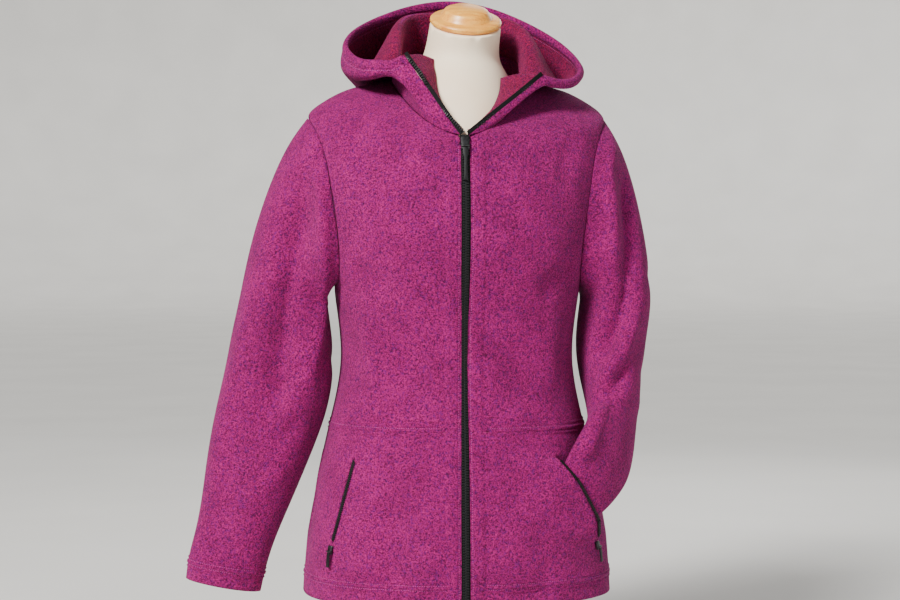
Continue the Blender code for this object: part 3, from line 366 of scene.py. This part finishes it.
LOOK = {  # where a side's paths are looked down from, and the way
    "front": (Vector((0, -1, 0)), Vector((0, 1, 0))),
    "back": (Vector((0, 1, 0)), Vector((0, -1, 0))),
    "left": (Vector((1, 0, 0)), Vector((-1, 0, 0))),
    "right": (Vector((-1, 0, 0)), Vector((1, 0, 0))),
}
FADE = 0.30  # of a crease's length, over which each end fades out
CREASE_REACH = 3  # widths past which a crease moves nothing
LEAST_PUSH = 0.00002


def tree_of(bms):
    """A search tree over the faces of several meshes."""
    points, faces = [], []
    for bm in bms:
        bm.verts.index_update()
        start = len(points)
        points += [v.co.copy() for v in bm.verts]
        faces += [[v.index + start for v in f.verts] for f in bm.faces]
    return BVHTree.FromPolygons(points, faces)


def along_path(points, step):
    """Points at even steps along a path's straight pieces."""
    made = []
    left = 0.0
    for a, b in zip(points, points[1:]):
        length = (b - a).length
        while left <= length:
            made.append(a.lerp(b, left / length if length else 0))
            left += step
        left -= length
    return made


def lay_path(tree, side, path):
    """A path laid on the cloth as it is seen from one side."""
    start, way = LOOK[side]
    made = []
    for across, height in path:
        at = Vector((across, 0, height)) if side in ("front", "back") else Vector((0, across, height))
        hit = tree.ray_cast(at + start, way)[0]
        if hit is None:
            hit = tree.find_nearest(at)[0]
        made.append(hit)
    return [tree.find_nearest(point)[0] for point in along_path(made, PATH_STEP)]


def press(group, sheets):
    """Pushes a group's sheets in and out along its creases."""
    tree = tree_of(sheets)
    creases = []
    for owner, side, width, depth, path in CREASES:
        if owner != group:
            continue
        line = np.array([tuple(p) for p in lay_path(tree, side, path)])
        at = np.linspace(0, 1, len(line))
        fade = np.clip(np.minimum(at, 1 - at) / FADE, 0, 1)
        creases.append((line, width, depth * fade * fade * (3 - 2 * fade)))
    for bm in sheets:
        bm.normal_update()
        points = np.array([tuple(v.co) for v in bm.verts])
        push = np.zeros(len(points))
        for line, width, depths in creases:
            low, high = line.min(axis=0) - CREASE_REACH * width, line.max(axis=0) + CREASE_REACH * width
            near = np.nonzero(((points > low) & (points < high)).all(axis=1))[0]
            if not len(near):
                continue
            away = np.linalg.norm(points[near, None] - line[None], axis=2)
            closest = away.argmin(axis=1)
            distance = away[np.arange(len(near)), closest]
            push[near] += depths[closest] * np.exp(-((distance / width) ** 2))
        bm.verts.ensure_lookup_table()
        for i in np.nonzero(np.abs(push) > LEAST_PUSH)[0]:
            vert = bm.verts[int(i)]
            vert.co += vert.normal * push[i]


def edge_line(bm, start, through, end):
    """The sheet's own edge from one place to another, the way round that passes nearest to a third."""
    rim = {}
    for edge in bm.edges:
        if edge.is_boundary:
            for vert in edge.verts:
                rim.setdefault(vert, []).append(edge.other_vert(vert))
    first = min(rim, key=lambda v: (v.co - Vector(start)).length)
    last = min(rim, key=lambda v: (v.co - Vector(end)).length)
    ways = []
    for step in rim[first]:
        way = [first, step]
        while way[-1] is not last and way[-1] is not first:
            way.append(next(v for v in rim[way[-1]] if v is not way[-2]))
        ways.append([v.co.copy() for v in way])
    return min(ways, key=lambda way: min((point - Vector(through)).length for point in way))


sheets = {row[0]: rounded(outer_sheet(row[0], row[1])) for row in CLOTHS}
for group in ("body", "sleeve_right", "sleeve_left"):
    press(group, [sheets[row[0]] for row in CLOTHS if row[2] == group])
ZIP_FOOT = {1: (0.006, -0.128, 0.768), -1: (-0.006, -0.128, 0.768)}
ZIP_TOP = {1: (0.105, -0.100, 0.848), -1: (-0.077, -0.100, 0.874)}
ZIP_MIDDLE = {1: (0.061, -0.1125, 0.812), -1: (-0.045, -0.113, 0.826)}
hood = sheets["hood_outer"]
rim_line = edge_line(hood, ZIP_TOP[1], (0.0, 0.120, 0.974), ZIP_TOP[-1])
neck_line = edge_line(hood, ZIP_FOOT[1], (0.0, 0.070, 0.857), ZIP_FOOT[-1])
zip_lines = {side: edge_line(hood, ZIP_FOOT[side], ZIP_MIDDLE[side], ZIP_TOP[side]) for side in (1, -1)}

body_nodes = [row[0] for row in CLOTHS if row[2] == "body"]
groups = {row[0]: tree_of([sheets[row[0]]]) for row in CLOTHS}
groups["body"] = tree_of([sheets[name] for name in body_nodes])
groups["body_lower"] = tree_of([sheets[name] for name in body_nodes if "lower" in name])
groups["body_upper"] = tree_of([sheets[name] for name in body_nodes if "upper" in name])

clothes = {}
for node, _, _, finish, slot, *_ in CLOTHS:
    cloth = add_piece("wool_" + node, sheets[node], finish)
    wall = cloth.modifiers.new("Wall", "SOLIDIFY")
    wall.thickness = WOOL
    wall.offset = -1
    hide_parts(node)
    clothes[node] = cloth

# Hard pieces that keep their CAD solids, with better finishes.
for node in ("zip_chain", "zip_half_left", "zip_half_right", "pocket_zip_left", "pocket_zip_right"):
    bpy.data.objects[node].material_slots[0].material = tape
bpy.data.objects["form_pole"].material_slots[0].material = steel


def soften(node, finish, slot, bevel, body):
    """A hard piece on its CAD solid's form, with its edges rounded."""
    bm = merged_copy(node)
    bmesh.ops.dissolve_limit(bm, angle_limit=math.radians(2), verts=bm.verts, edges=bm.edges)
    edges = [e for e in bm.edges if e.calc_face_angle(0) > math.radians(30)]
    bmesh.ops.bevel(
        bm, geom=edges, offset=bevel, affect="EDGES", segments=2, profile=0.5, material=-1, clamp_overlap=True
    )
    piece = add_piece("finished_" + node, bm, finish, body)
    piece.data.set_sharp_from_angle(angle=math.radians(40))
    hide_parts(node)


# node, finish, slot, width of its rounded edges, body
HARD_PIECES = (
    ("zip_slider", enamel, "zip_metal", 0.0007, HOME),
    ("pocket_slider_left", enamel, "zip_metal", 0.0005, HOME),
    ("pocket_slider_right", enamel, "zip_metal", 0.0005, HOME),
    ("zip_end_box", pull_black, "zip_plastic", 0.0004, HOME),
    ("zip_pull", pull_black, "zip_pull_plastic", 0.0004, "zip_pull"),
    ("pocket_pull_left", pull_black, "zip_pull_plastic", 0.0004, "pocket_pull_left"),
    ("pocket_pull_right", pull_black, "zip_pull_plastic", 0.0004, "pocket_pull_right"),
    ("form_base", beech, "stand_wood", 0.0012, HOME),
    ("form_neck_cap", beech, "turned_wood", 0.0006, HOME),
)
for row in HARD_PIECES:
    soften(*row)

torso = merged_copy("form_torso")
join_quads(torso)
cover = add_piece("form_cover", rounded(torso, FORM_LEVELS), jersey)
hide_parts("form_torso")


def rows_on(tree, line, step, lift=0.0):
    """Places at even steps on a cloth's surface: each is a point, its normal and the way along the row."""
    found = [tree.find_nearest(point) for point in along_path(line, step)]
    made = []
    for k, (point, normal, _, _) in enumerate(found):
        after = found[min(k + 1, len(found) - 1)][0]
        before = found[max(k - 1, 0)][0]
        along = (after - before).normalized()
        made.append((point + normal * lift, normal, along))
    return made


def stamp(bm, shape, places):
    """Copies a small shape to each place: its x lies along the row and its z along the normal."""
    for point, normal, along in places:
        across = normal.cross(along).normalized()
        verts = {}
        for vert in shape.verts:
            verts[vert] = bm.verts.new(point + along * vert.co.x + across * vert.co.y + normal * vert.co.z)
        for face in shape.faces:
            bm.faces.new([verts[v] for v in face.verts])


def loft(places, profile, closed=False):
    """A band along a row of places; the profile gives (across, height) from its near to its far side."""
    bm = bmesh.new()
    columns, rows = len(profile) - 1, len(places) - 1
    bmesh.ops.create_grid(bm, x_segments=columns, y_segments=rows, size=1.0)
    for vert in bm.verts:
        across, height = profile[round((vert.co.x + 1) / 2 * columns)]
        point, normal, along = places[round((vert.co.y + 1) / 2 * rows)]
        vert.co = point + along.cross(normal).normalized() * across + normal * height
    if closed:
        bmesh.ops.remove_doubles(bm, verts=bm.verts, dist=MERGE)
        bmesh.ops.holes_fill(bm, edges=bm.edges, sides=0)
        bmesh.ops.recalc_face_normals(bm, faces=bm.faces)
    return bm


def evened(places, reach=2):
    """The same places with their normals and ways averaged over their neighbours."""
    made = []
    for k, (point, _, _) in enumerate(places):
        near = places[max(k - reach, 0) : k + reach + 1]
        normal = sum((place[1] for place in near), Vector()).normalized()
        along = sum((place[2] for place in near), Vector())
        along = (along - normal * along.dot(normal)).normalized()
        made.append((point, normal, along))
    return made


def oval(across, height, half_width, half_height, parts=14):
    """A closed oval profile round (across, height)."""
    turns = [2 * math.pi * k / parts for k in range(parts + 1)]
    return [(across - half_width * math.cos(t), height + half_height * math.sin(t)) for t in turns]


STITCH_DIVE = 2.2  # thread radii that a stitch's ends go down


def stitch_shape(length, radius):
    """One stitch: a thread's arc that dives into the wool at both ends."""
    bm = bmesh.new()
    bmesh.ops.create_cone(bm, cap_ends=True, segments=6, radius1=radius, radius2=radius, depth=length)
    long_edges = [e for e in bm.edges if abs(e.verts[0].co.z - e.verts[1].co.z) > length / 2]
    bmesh.ops.subdivide_edges(bm, edges=long_edges, cuts=3)
    for vert in bm.verts:
        along = vert.co.z / (length / 2)
        vert.co = Vector((vert.co.z, vert.co.y, vert.co.x - radius * STITCH_DIVE * along * along))
    bmesh.ops.recalc_face_normals(bm, faces=bm.faces)
    return bm


STITCH = 0.0030  # from one stitch to the next
STITCH_LENGTH = 0.0024
THREAD_RADIUS = 0.00038
stitch = stitch_shape(STITCH_LENGTH, THREAD_RADIUS)
RING_PARTS = 180
OUTSIDE = 0.3  # from a sleeve's middle to a place clear of it


def ring(tree, z, skip):
    """A line round the body at one height, open in front where it would cross the zip."""
    made = []
    for k in range(RING_PARTS + 1):
        turn = 2 * math.pi * k / RING_PARTS
        way = Vector((math.sin(turn), -math.cos(turn), 0))
        hit = tree.ray_cast(Vector((0, 0, z)) + way, -way)[0]
        if hit is not None and hit.dot(way) > 0 and (abs(hit.x) > skip or way.y > 0):
            made.append(hit)
    return made


def sleeve_ring(tree, centre, axis):
    """A closed line round a sleeve, square to its axis."""
    axis = Vector(axis).normalized()
    first = axis.orthogonal().normalized()
    second = axis.cross(first)
    made = []
    for k in range(RING_PARTS + 1):
        turn = 2 * math.pi * k / RING_PARTS
        way = first * math.cos(turn) + second * math.sin(turn)
        hit = tree.ray_cast(Vector(centre) + way * OUTSIDE, -way)[0]
        if hit is not None:
            made.append(hit)
    return made


# Stitched grooves: each is a soft swell of wool with a channel pressed into it for every row of stitches.
# profile of (across, height), and where its rows of stitches lie
FELL = (
    (
        (-0.0085, -0.0008), (-0.0060, 0.0012), (-0.0036, -0.0002), (-0.0028, -0.0002),
        (-0.0012, 0.0016), (0.0012, 0.0016), (0.0028, -0.0002), (0.0036, -0.0002),
        (0.0060, 0.0012), (0.0085, -0.0008),
    ),
    (-0.0031, 0.0031),
)
FACING = (
    (
        (-0.0100, -0.0005), (-0.0085, 0.0007), (-0.0040, 0.0009), (0.0040, 0.0011),
        (0.0062, 0.0008), (0.0072, -0.0002), (0.0080, -0.0002), (0.0098, 0.0005),
        (0.0115, -0.0006),
    ),
    (0.0076,),
)
WELT = (
    (
        (0.0030, -0.0006), (0.0040, 0.0012), (0.0062, 0.0014), (0.0076, -0.0001),
        (0.0084, -0.0001), (0.0100, 0.0010), (0.0122, -0.0006),
    ),
    (0.0080,),
)


def strip_line(node, parts=14):
    """The middle line of a pocket's zip strip from its top down, as (across, height)."""
    bm = merged_copy(node)
    points = sorted((v.co.copy() for v in bm.verts), key=lambda point: -point.z)
    bm.free()
    high, low = points[0].z, points[-1].z
    made = []
    for k in range(parts):
        top, bottom = high + (low - high) * k / parts, high + (low - high) * (k + 1) / parts
        slab = [point for point in points if bottom <= point.z <= top]
        if slab:
            made.append((sum(point.x for point in slab) / len(slab), sum(point.z for point in slab) / len(slab)))
    return made


OPEN_POCKET = strip_line("pocket_zip_left")
CLOSED_POCKET = strip_line("pocket_zip_right")
ZIP_ROOM = 0.026  # half the width that a ring leaves free for the zip
# name, surface, height, stitched band, owner
RING_BANDS = (
    ("hem_band", "body_lower", 0.1860, FELL, "back_lower"),
    ("waist_band", "body_upper", 0.3866, FELL, "back_upper"),
)
FACING_RIGHT = ((-0.0165, 0.163), (-0.0165, 0.600), (-0.0160, 0.758))
FACING_LEFT = ((0.0165, 0.758), (0.0165, 0.600), (0.0165, 0.163))
# name, surface, side, path as (across, height), stitched band, owner
PATH_BANDS = (
    ("facing_right", "body", "front", FACING_RIGHT, FACING, "front_right_upper"),
    ("pocket_welt_left", "front_left_lower", "front", OPEN_POCKET, WELT, "front_left_lower"),
    ("pocket_welt_right", "front_right_lower", "front", CLOSED_POCKET[::-1], WELT, "front_right_lower"),
    ("facing_left", "body", "front", FACING_LEFT, FACING, "front_left_upper"),
)

stitches = bmesh.new()
bands = {row[0]: [] for row in CLOTHS}


def add_band(name, tree, line, pattern, owner):
    """A stitched band along a line on the cloth, with its stitches."""
    profile, rows = pattern
    places = evened(rows_on(tree, line, PATH_STEP))
    bands[owner].append(add_piece(name, loft(places, profile), wool))
    for across in rows:
        shifted = [point + along.cross(normal).normalized() * across for point, normal, along in places]
        stamp(stitches, stitch, rows_on(tree, shifted, STITCH))


for name, surface, z, pattern, owner in RING_BANDS:
    add_band(name, groups[surface], ring(groups[surface], z, ZIP_ROOM)[::-1], pattern, owner)
for name, surface, side, path, pattern, owner in PATH_BANDS:
    add_band(name, groups[surface], lay_path(groups[surface], side, path), pattern, owner)
CUFF_CENTRE = (-0.3105, -0.020, 0.1960)
CUFF_AXIS = (-0.17, -0.01, -1.0)
cuff = sleeve_ring(groups["sleeve_right"], CUFF_CENTRE, CUFF_AXIS)
add_band("cuff_band", groups["sleeve_right"], cuff, FELL, "sleeve_right")

# The hood's edge is turned in and rolls softly; a row of stitches holds it down.
RIM_HALF_WIDTH = 0.0065
RIM_HALF_THICKNESS = 0.0042
RIM_INSET, RIM_DROP = 0.0052, -0.0026  # the roll's middle from the hood's edge
RIM_STITCH_INSET = 0.0135
rim_places = evened(rows_on(groups["hood_outer"], rim_line, PATH_STEP), 3)
rim_oval = oval(RIM_INSET, RIM_DROP, RIM_HALF_WIDTH, RIM_HALF_THICKNESS)
bands["hood_outer"].append(add_piece("rim_roll", loft(rim_places, rim_oval, True), wool))
below = [point + along.cross(normal).normalized() * RIM_STITCH_INSET for point, normal, along in rim_places]
for node in ("hood_outer", "hood_lining"):
    stamp(stitches, stitch, rows_on(groups[node], below, STITCH))
# A tape of wool backs the neck seam.
neck_places = evened(rows_on(groups["hood_outer"], neck_line, PATH_STEP), 2)
neck_tape = loft(neck_places, ((-0.0070, -0.0034), (0.0000, -0.0026), (0.0070, -0.0034)))
bands["hood_outer"].append(add_piece("neck_seam_tape", neck_tape, wool))
add_piece("seam_stitches", stitches, thread)


STAY_HALF_LENGTH = 0.030
STAY_HALF_WIDTH = 0.016
STAY_DEPTH = 0.0030  # under the cloth's face
STAY_PASSES = 40
STAY_START, STAY_SEARCH = 0.04, 0.09  # how far outside the search for the cloth starts, and how deep it goes


def shoulder_stay(name, sleeve):
    """A patch of wool under the point where the shoulder seam meets the sleeve head."""
    trees = (groups["body_upper"], groups[sleeve])
    top = max((v.co.copy() for v in clothes[sleeve].data.vertices), key=lambda point: point.z)
    outward = Vector((math.copysign(0.6, top.x), 0, 0.8))
    across = Vector((0, 1, 0)).cross(outward)
    bm = bmesh.new()
    bmesh.ops.create_grid(bm, x_segments=24, y_segments=14, size=1.0)
    loose = []
    for vert in bm.verts:
        place = top + Vector((0, vert.co.x * STAY_HALF_LENGTH, 0)) + across * (vert.co.y * STAY_HALF_WIDTH)
        hits = [tree.ray_cast(place + outward * STAY_START, -outward, STAY_SEARCH)[0] for tree in trees]
        hits = [hit for hit in hits if hit is not None]
        if hits:
            vert.co = min(hits, key=lambda hit: hit.dot(outward)) - outward * STAY_DEPTH
        else:
            vert.co = place - outward * STAY_DEPTH
            loose.append(vert)
    for _ in range(STAY_PASSES):
        for vert in loose:
            near = [edge.other_vert(vert).co for edge in vert.link_edges]
            vert.co = sum(near, Vector()) / len(near)
    bmesh.ops.recalc_face_normals(bm, faces=bm.faces)
    bands[sleeve].append(add_piece(name, bm, wool))


shoulder_stay("shoulder_stay_right", "sleeve_right")
shoulder_stay("shoulder_stay_left", "sleeve_left")


TOOTH_BEVEL = 0.22  # of a tooth's length along the chain


def tooth_shape(across, along, height):
    """One moulded tooth: a small block with a rounded nose that reaches over the middle."""
    bm = bmesh.new()
    bmesh.ops.create_cube(bm, size=1.0)
    bmesh.ops.scale(bm, vec=(along, across, height), verts=bm.verts)
    ahead = [e for e in bm.edges if all(v.co.y > 0 for v in e.verts)]
    nose = [e for e in ahead if abs(e.verts[0].co.x - e.verts[1].co.x) < MERGE]
    tops = [e for e in bm.edges if all(v.co.z > 0 for v in e.verts) and e not in nose]
    bmesh.ops.bevel(
        bm, geom=nose + tops, offset=along * TOOTH_BEVEL, affect="EDGES", segments=2, profile=0.5, material=-1
    )
    return bm


def zip_teeth(name, lines, pitch, across, along, height, reach, lift, opened=0.0):
    """Two rows of teeth, one on each side of a chain's middle line."""
    shape = tooth_shape(across, along, height)
    bm = bmesh.new()
    for tree, line, side in lines:
        places = []
        for k, (point, normal, way) in enumerate(rows_on(tree, line, pitch / 2)):
            if k % 2 == int(side > 0):
                shift = normal.cross(way).normalized() * side * reach
                normal = normal if normal.y < 0 else -normal
                way = way if side < 0 else -way
                if opened and normal.cross(way).x * side > 0:
                    way = -way
                inward = normal.cross(way).normalized() * opened
                places.append((point + shift + inward + normal * lift, normal, way))
        stamp(bm, shape, places)
    shape.free()
    add_piece(name, bm, teeth_black, flat_shaded=True)


def node_tree(node):
    """A search tree over one CAD node."""
    bm = merged_copy(node)
    tree = tree_of([bm])
    bm.free()
    return tree


EDGE_PASSES = 8  # that smooth the edge
EDGE_STEP = 0.001
EDGE_STEPS = 16  # of that step, in which the edge is searched
EDGE_GAP = 0.0010  # a place this far off the tape lies past its edge


def free_edge(half, line, side):
    """A zip half's inner edge, beside a line on the cloth that holds it."""
    made = []
    for point, normal, along in evened(rows_on(half, line, PATH_STEP), 3):
        inward = normal.cross(along)
        if inward.x * side > 0:
            inward = -inward
        edge = point
        for step in range(1, EDGE_STEPS):
            near, _, _, gap = half.find_nearest(point + inward * (EDGE_STEP * step))
            if gap > EDGE_GAP:
                break
            edge = near
        made.append(edge)
    for _ in range(EDGE_PASSES):
        made = [made[0]] + [(a + b * 2 + c) / 4 for a, b, c in zip(made, made[1:], made[2:])] + [made[-1]]
    return made


# The teeth: pitch runs from one tooth to the next in its row. Then come a tooth's size, and how far its row stands
# off the middle and off the tape. On an open half, opened is how far a tooth reaches past the tape's edge.
MAIN_TEETH = {"pitch": 0.0034, "across": 0.0046, "along": 0.0020, "height": 0.0022, "reach": 0.0017, "lift": 0.0009}
OPEN_TEETH = {"pitch": 0.0034, "across": 0.0044, "along": 0.0020, "height": 0.0024, "reach": 0.0, "lift": 0.0010}
OPEN_TEETH["opened"] = 0.0006
POCKET_TEETH = {"pitch": 0.0028, "across": 0.0030, "along": 0.0016, "height": 0.0016, "reach": 0.0011, "lift": 0.0008}
CHAIN_FOOT, CHAIN_TOP, CHAIN_PARTS = 0.172, 0.7665, 40
chain = node_tree("zip_chain")
chain_line = lay_path(chain, "front", [(0.0, z) for z in np.linspace(CHAIN_FOOT, CHAIN_TOP, CHAIN_PARTS)])
zip_teeth("main_zip_teeth", [(chain, chain_line, 1), (chain, chain_line, -1)], **MAIN_TEETH)
# The open halves run from the slider up the hood's edges.
open_teeth = []
for side, node in ((1, "zip_half_left"), (-1, "zip_half_right")):
    half = node_tree(node)
    open_teeth.append((half, free_edge(half, zip_lines[side], side), side))
zip_teeth("open_zip_teeth", open_teeth, **OPEN_TEETH)

for name, node, path in (
    ("pocket_teeth_left", "pocket_zip_left", OPEN_POCKET),
    ("pocket_teeth_right", "pocket_zip_right", CLOSED_POCKET),
):
    strip = node_tree(node)
    middle = lay_path(strip, "front", path)
    zip_teeth(name, [(strip, middle, 1), (strip, middle, -1)], **POCKET_TEETH)

# The hood's lining runs on from each half of the open zip back to the neck, a little clear of the form.
NECK_GAP = 0.0025
FACING_RISE = 0.004
NECK_X, NECK_Y = 0.004, -0.016  # the middle of the form's neck
form = node_tree("form_torso")
for side, name in ((1, "neck_facing_left"), (-1, "neck_facing_right")):
    edge = [line for _, line, which in open_teeth if which == side][0]
    facing = bmesh.new()
    bmesh.ops.create_grid(facing, x_segments=6, y_segments=len(edge) - 1, size=1.0)
    for vert in facing.verts:
        share = (vert.co.x + 1) / 2
        start = edge[round((vert.co.y + 1) / 2 * (len(edge) - 1))]
        way = Vector((NECK_X - start.x, NECK_Y - start.y, 0)).normalized()
        end = form.ray_cast(start, way)[0] - way * NECK_GAP
        vert.co = start.lerp(end, share) + Vector((0, 0, FACING_RISE)) * math.sin(math.pi * share)
    piece = add_piece(name, facing, wool_inside)
    wall = piece.modifiers.new("Wall", "SOLIDIFY")
    wall.thickness = WOOL / 2
    bands["hood_lining"].append(piece)

def turn_to(obj, way):
    """Turns a camera or a light to look along way."""
    obj.rotation_mode = "QUATERNION"
    obj.rotation_quaternion = way.to_track_quat("-Z", "Y")


# The camera stands where the photograph was taken, 2.4 m off and a little to the wearer's right.
AIM = Vector((-0.009, 0.0, 0.552))
AZIMUTH = math.radians(-4.5)
DISTANCE = 2.4
CAMERA_Z = 0.62
LENS = 70.6  # millimetres, on a sensor of full width
SENSOR = 36.0
camera = bpy.data.objects.new("camera", bpy.data.cameras.new("camera"))
bpy.context.scene.collection.objects.link(camera)
camera.location = (AIM.x + math.sin(AZIMUTH) * DISTANCE, -math.cos(AZIMUTH) * DISTANCE, CAMERA_Z)
turn_to(camera, AIM - camera.location)
camera.data.lens = LENS
camera.data.sensor_width = SENSOR
bpy.context.scene.camera = camera


def soft_light(name, place, towards, size, watts, colour):
    """A square soft box."""
    data = bpy.data.lights.new(name, "AREA")
    data.size = size
    data.energy = watts
    data.color = linear(colour)[:3]
    lamp = bpy.data.objects.new(name, data)
    bpy.context.scene.collection.objects.link(lamp)
    lamp.location = place
    turn_to(lamp, Vector(towards) - Vector(place))


# The key models the folds, a broad far lamp from the same side lights the whole, and two weaker boxes open the
# shadows.
CHEST = (0, 0, 0.55)
WIDE_STRENGTH = 3.0
WIDE_ANGLE = math.radians(16)
WIDE_WAY = Vector((1.7, 2.1, -1.9))
soft_light("key", (-1.7, -2.1, 2.5), CHEST, size=0.6, watts=120, colour="#FFFDF8")
wide_data = bpy.data.lights.new("wide", "SUN")
wide_data.energy = WIDE_STRENGTH
wide_data.angle = WIDE_ANGLE
wide = bpy.data.objects.new("wide", wide_data)
bpy.context.scene.collection.objects.link(wide)
turn_to(wide, WIDE_WAY)
soft_light("fill", (1.3, -2.6, 1.2), CHEST, size=1.8, watts=14, colour="#F4F7FF")
soft_light("back", (1.0, 2.2, 1.9), (0, 0, 0.6), size=1.5, watts=22, colour="#FFFFFF")

WORLD_STRENGTH = 0.26
world = bpy.data.worlds.new("studio")
world.use_nodes = True
world.node_tree.nodes["Background"].inputs["Color"].default_value = linear("#F2F2F0")
world.node_tree.nodes["Background"].inputs["Strength"].default_value = WORLD_STRENGTH
bpy.context.scene.world = world

# A pale floor that sweeps up into a low round wall, so that no horizon shows.
SWEEP_RADIUS = 20.0
SWEEP_CURVE = 4.0
SWEEP_HEIGHT = 9.0
SWEEP_PARTS = 12
SWEEP_TURNS = 96
sweep = [(0.0, 0.0)]
for k in range(SWEEP_PARTS + 1):
    turn = math.pi / 2 * k / SWEEP_PARTS
    sweep.append((SWEEP_RADIUS - SWEEP_CURVE * (1 - math.sin(turn)), SWEEP_CURVE * (1 - math.cos(turn))))
sweep.append((SWEEP_RADIUS, SWEEP_HEIGHT))
floor_bm = bmesh.new()
corners = [floor_bm.verts.new((across, 0, height)) for across, height in sweep]
sides = [floor_bm.edges.new(pair) for pair in zip(corners, corners[1:])]
bmesh.ops.spin(
    floor_bm,
    geom=corners + sides,
    cent=(0, 0, 0),
    axis=(0, 0, 1),
    angle=math.radians(360),
    steps=SWEEP_TURNS,
    use_merge=True,
)
bmesh.ops.remove_doubles(floor_bm, verts=floor_bm.verts, dist=0.0001)
bmesh.ops.recalc_face_normals(floor_bm, faces=floor_bm.faces)
floor_mesh = bpy.data.meshes.new("floor")
floor_bm.to_mesh(floor_mesh)
floor_bm.free()
floor_finish, floor_tree, floor_shader = new_finish("pale_matt_floor", 0.85)
floor_place = add(floor_tree, "TexCoord").outputs["Object"]
floor_cloud = add(floor_tree, "TexNoise", {"Vector": floor_place, "Scale": 2.0, "Detail": 2.0})
floor_tones = ((0.3, "#E4E2DE"), (0.7, "#EAE8E4"))
floor_mixed = add(floor_tree, "ValToRGB", {"Fac": floor_cloud.outputs["Fac"]}, floor_tones)
floor_tree.links.new(floor_mixed.outputs["Color"], floor_shader.inputs["Base Color"])
floor_mesh.materials.append(floor_finish)
floor_mesh.shade_smooth()
floor = bpy.data.objects.new("floor", floor_mesh)
bpy.context.scene.collection.objects.link(floor)
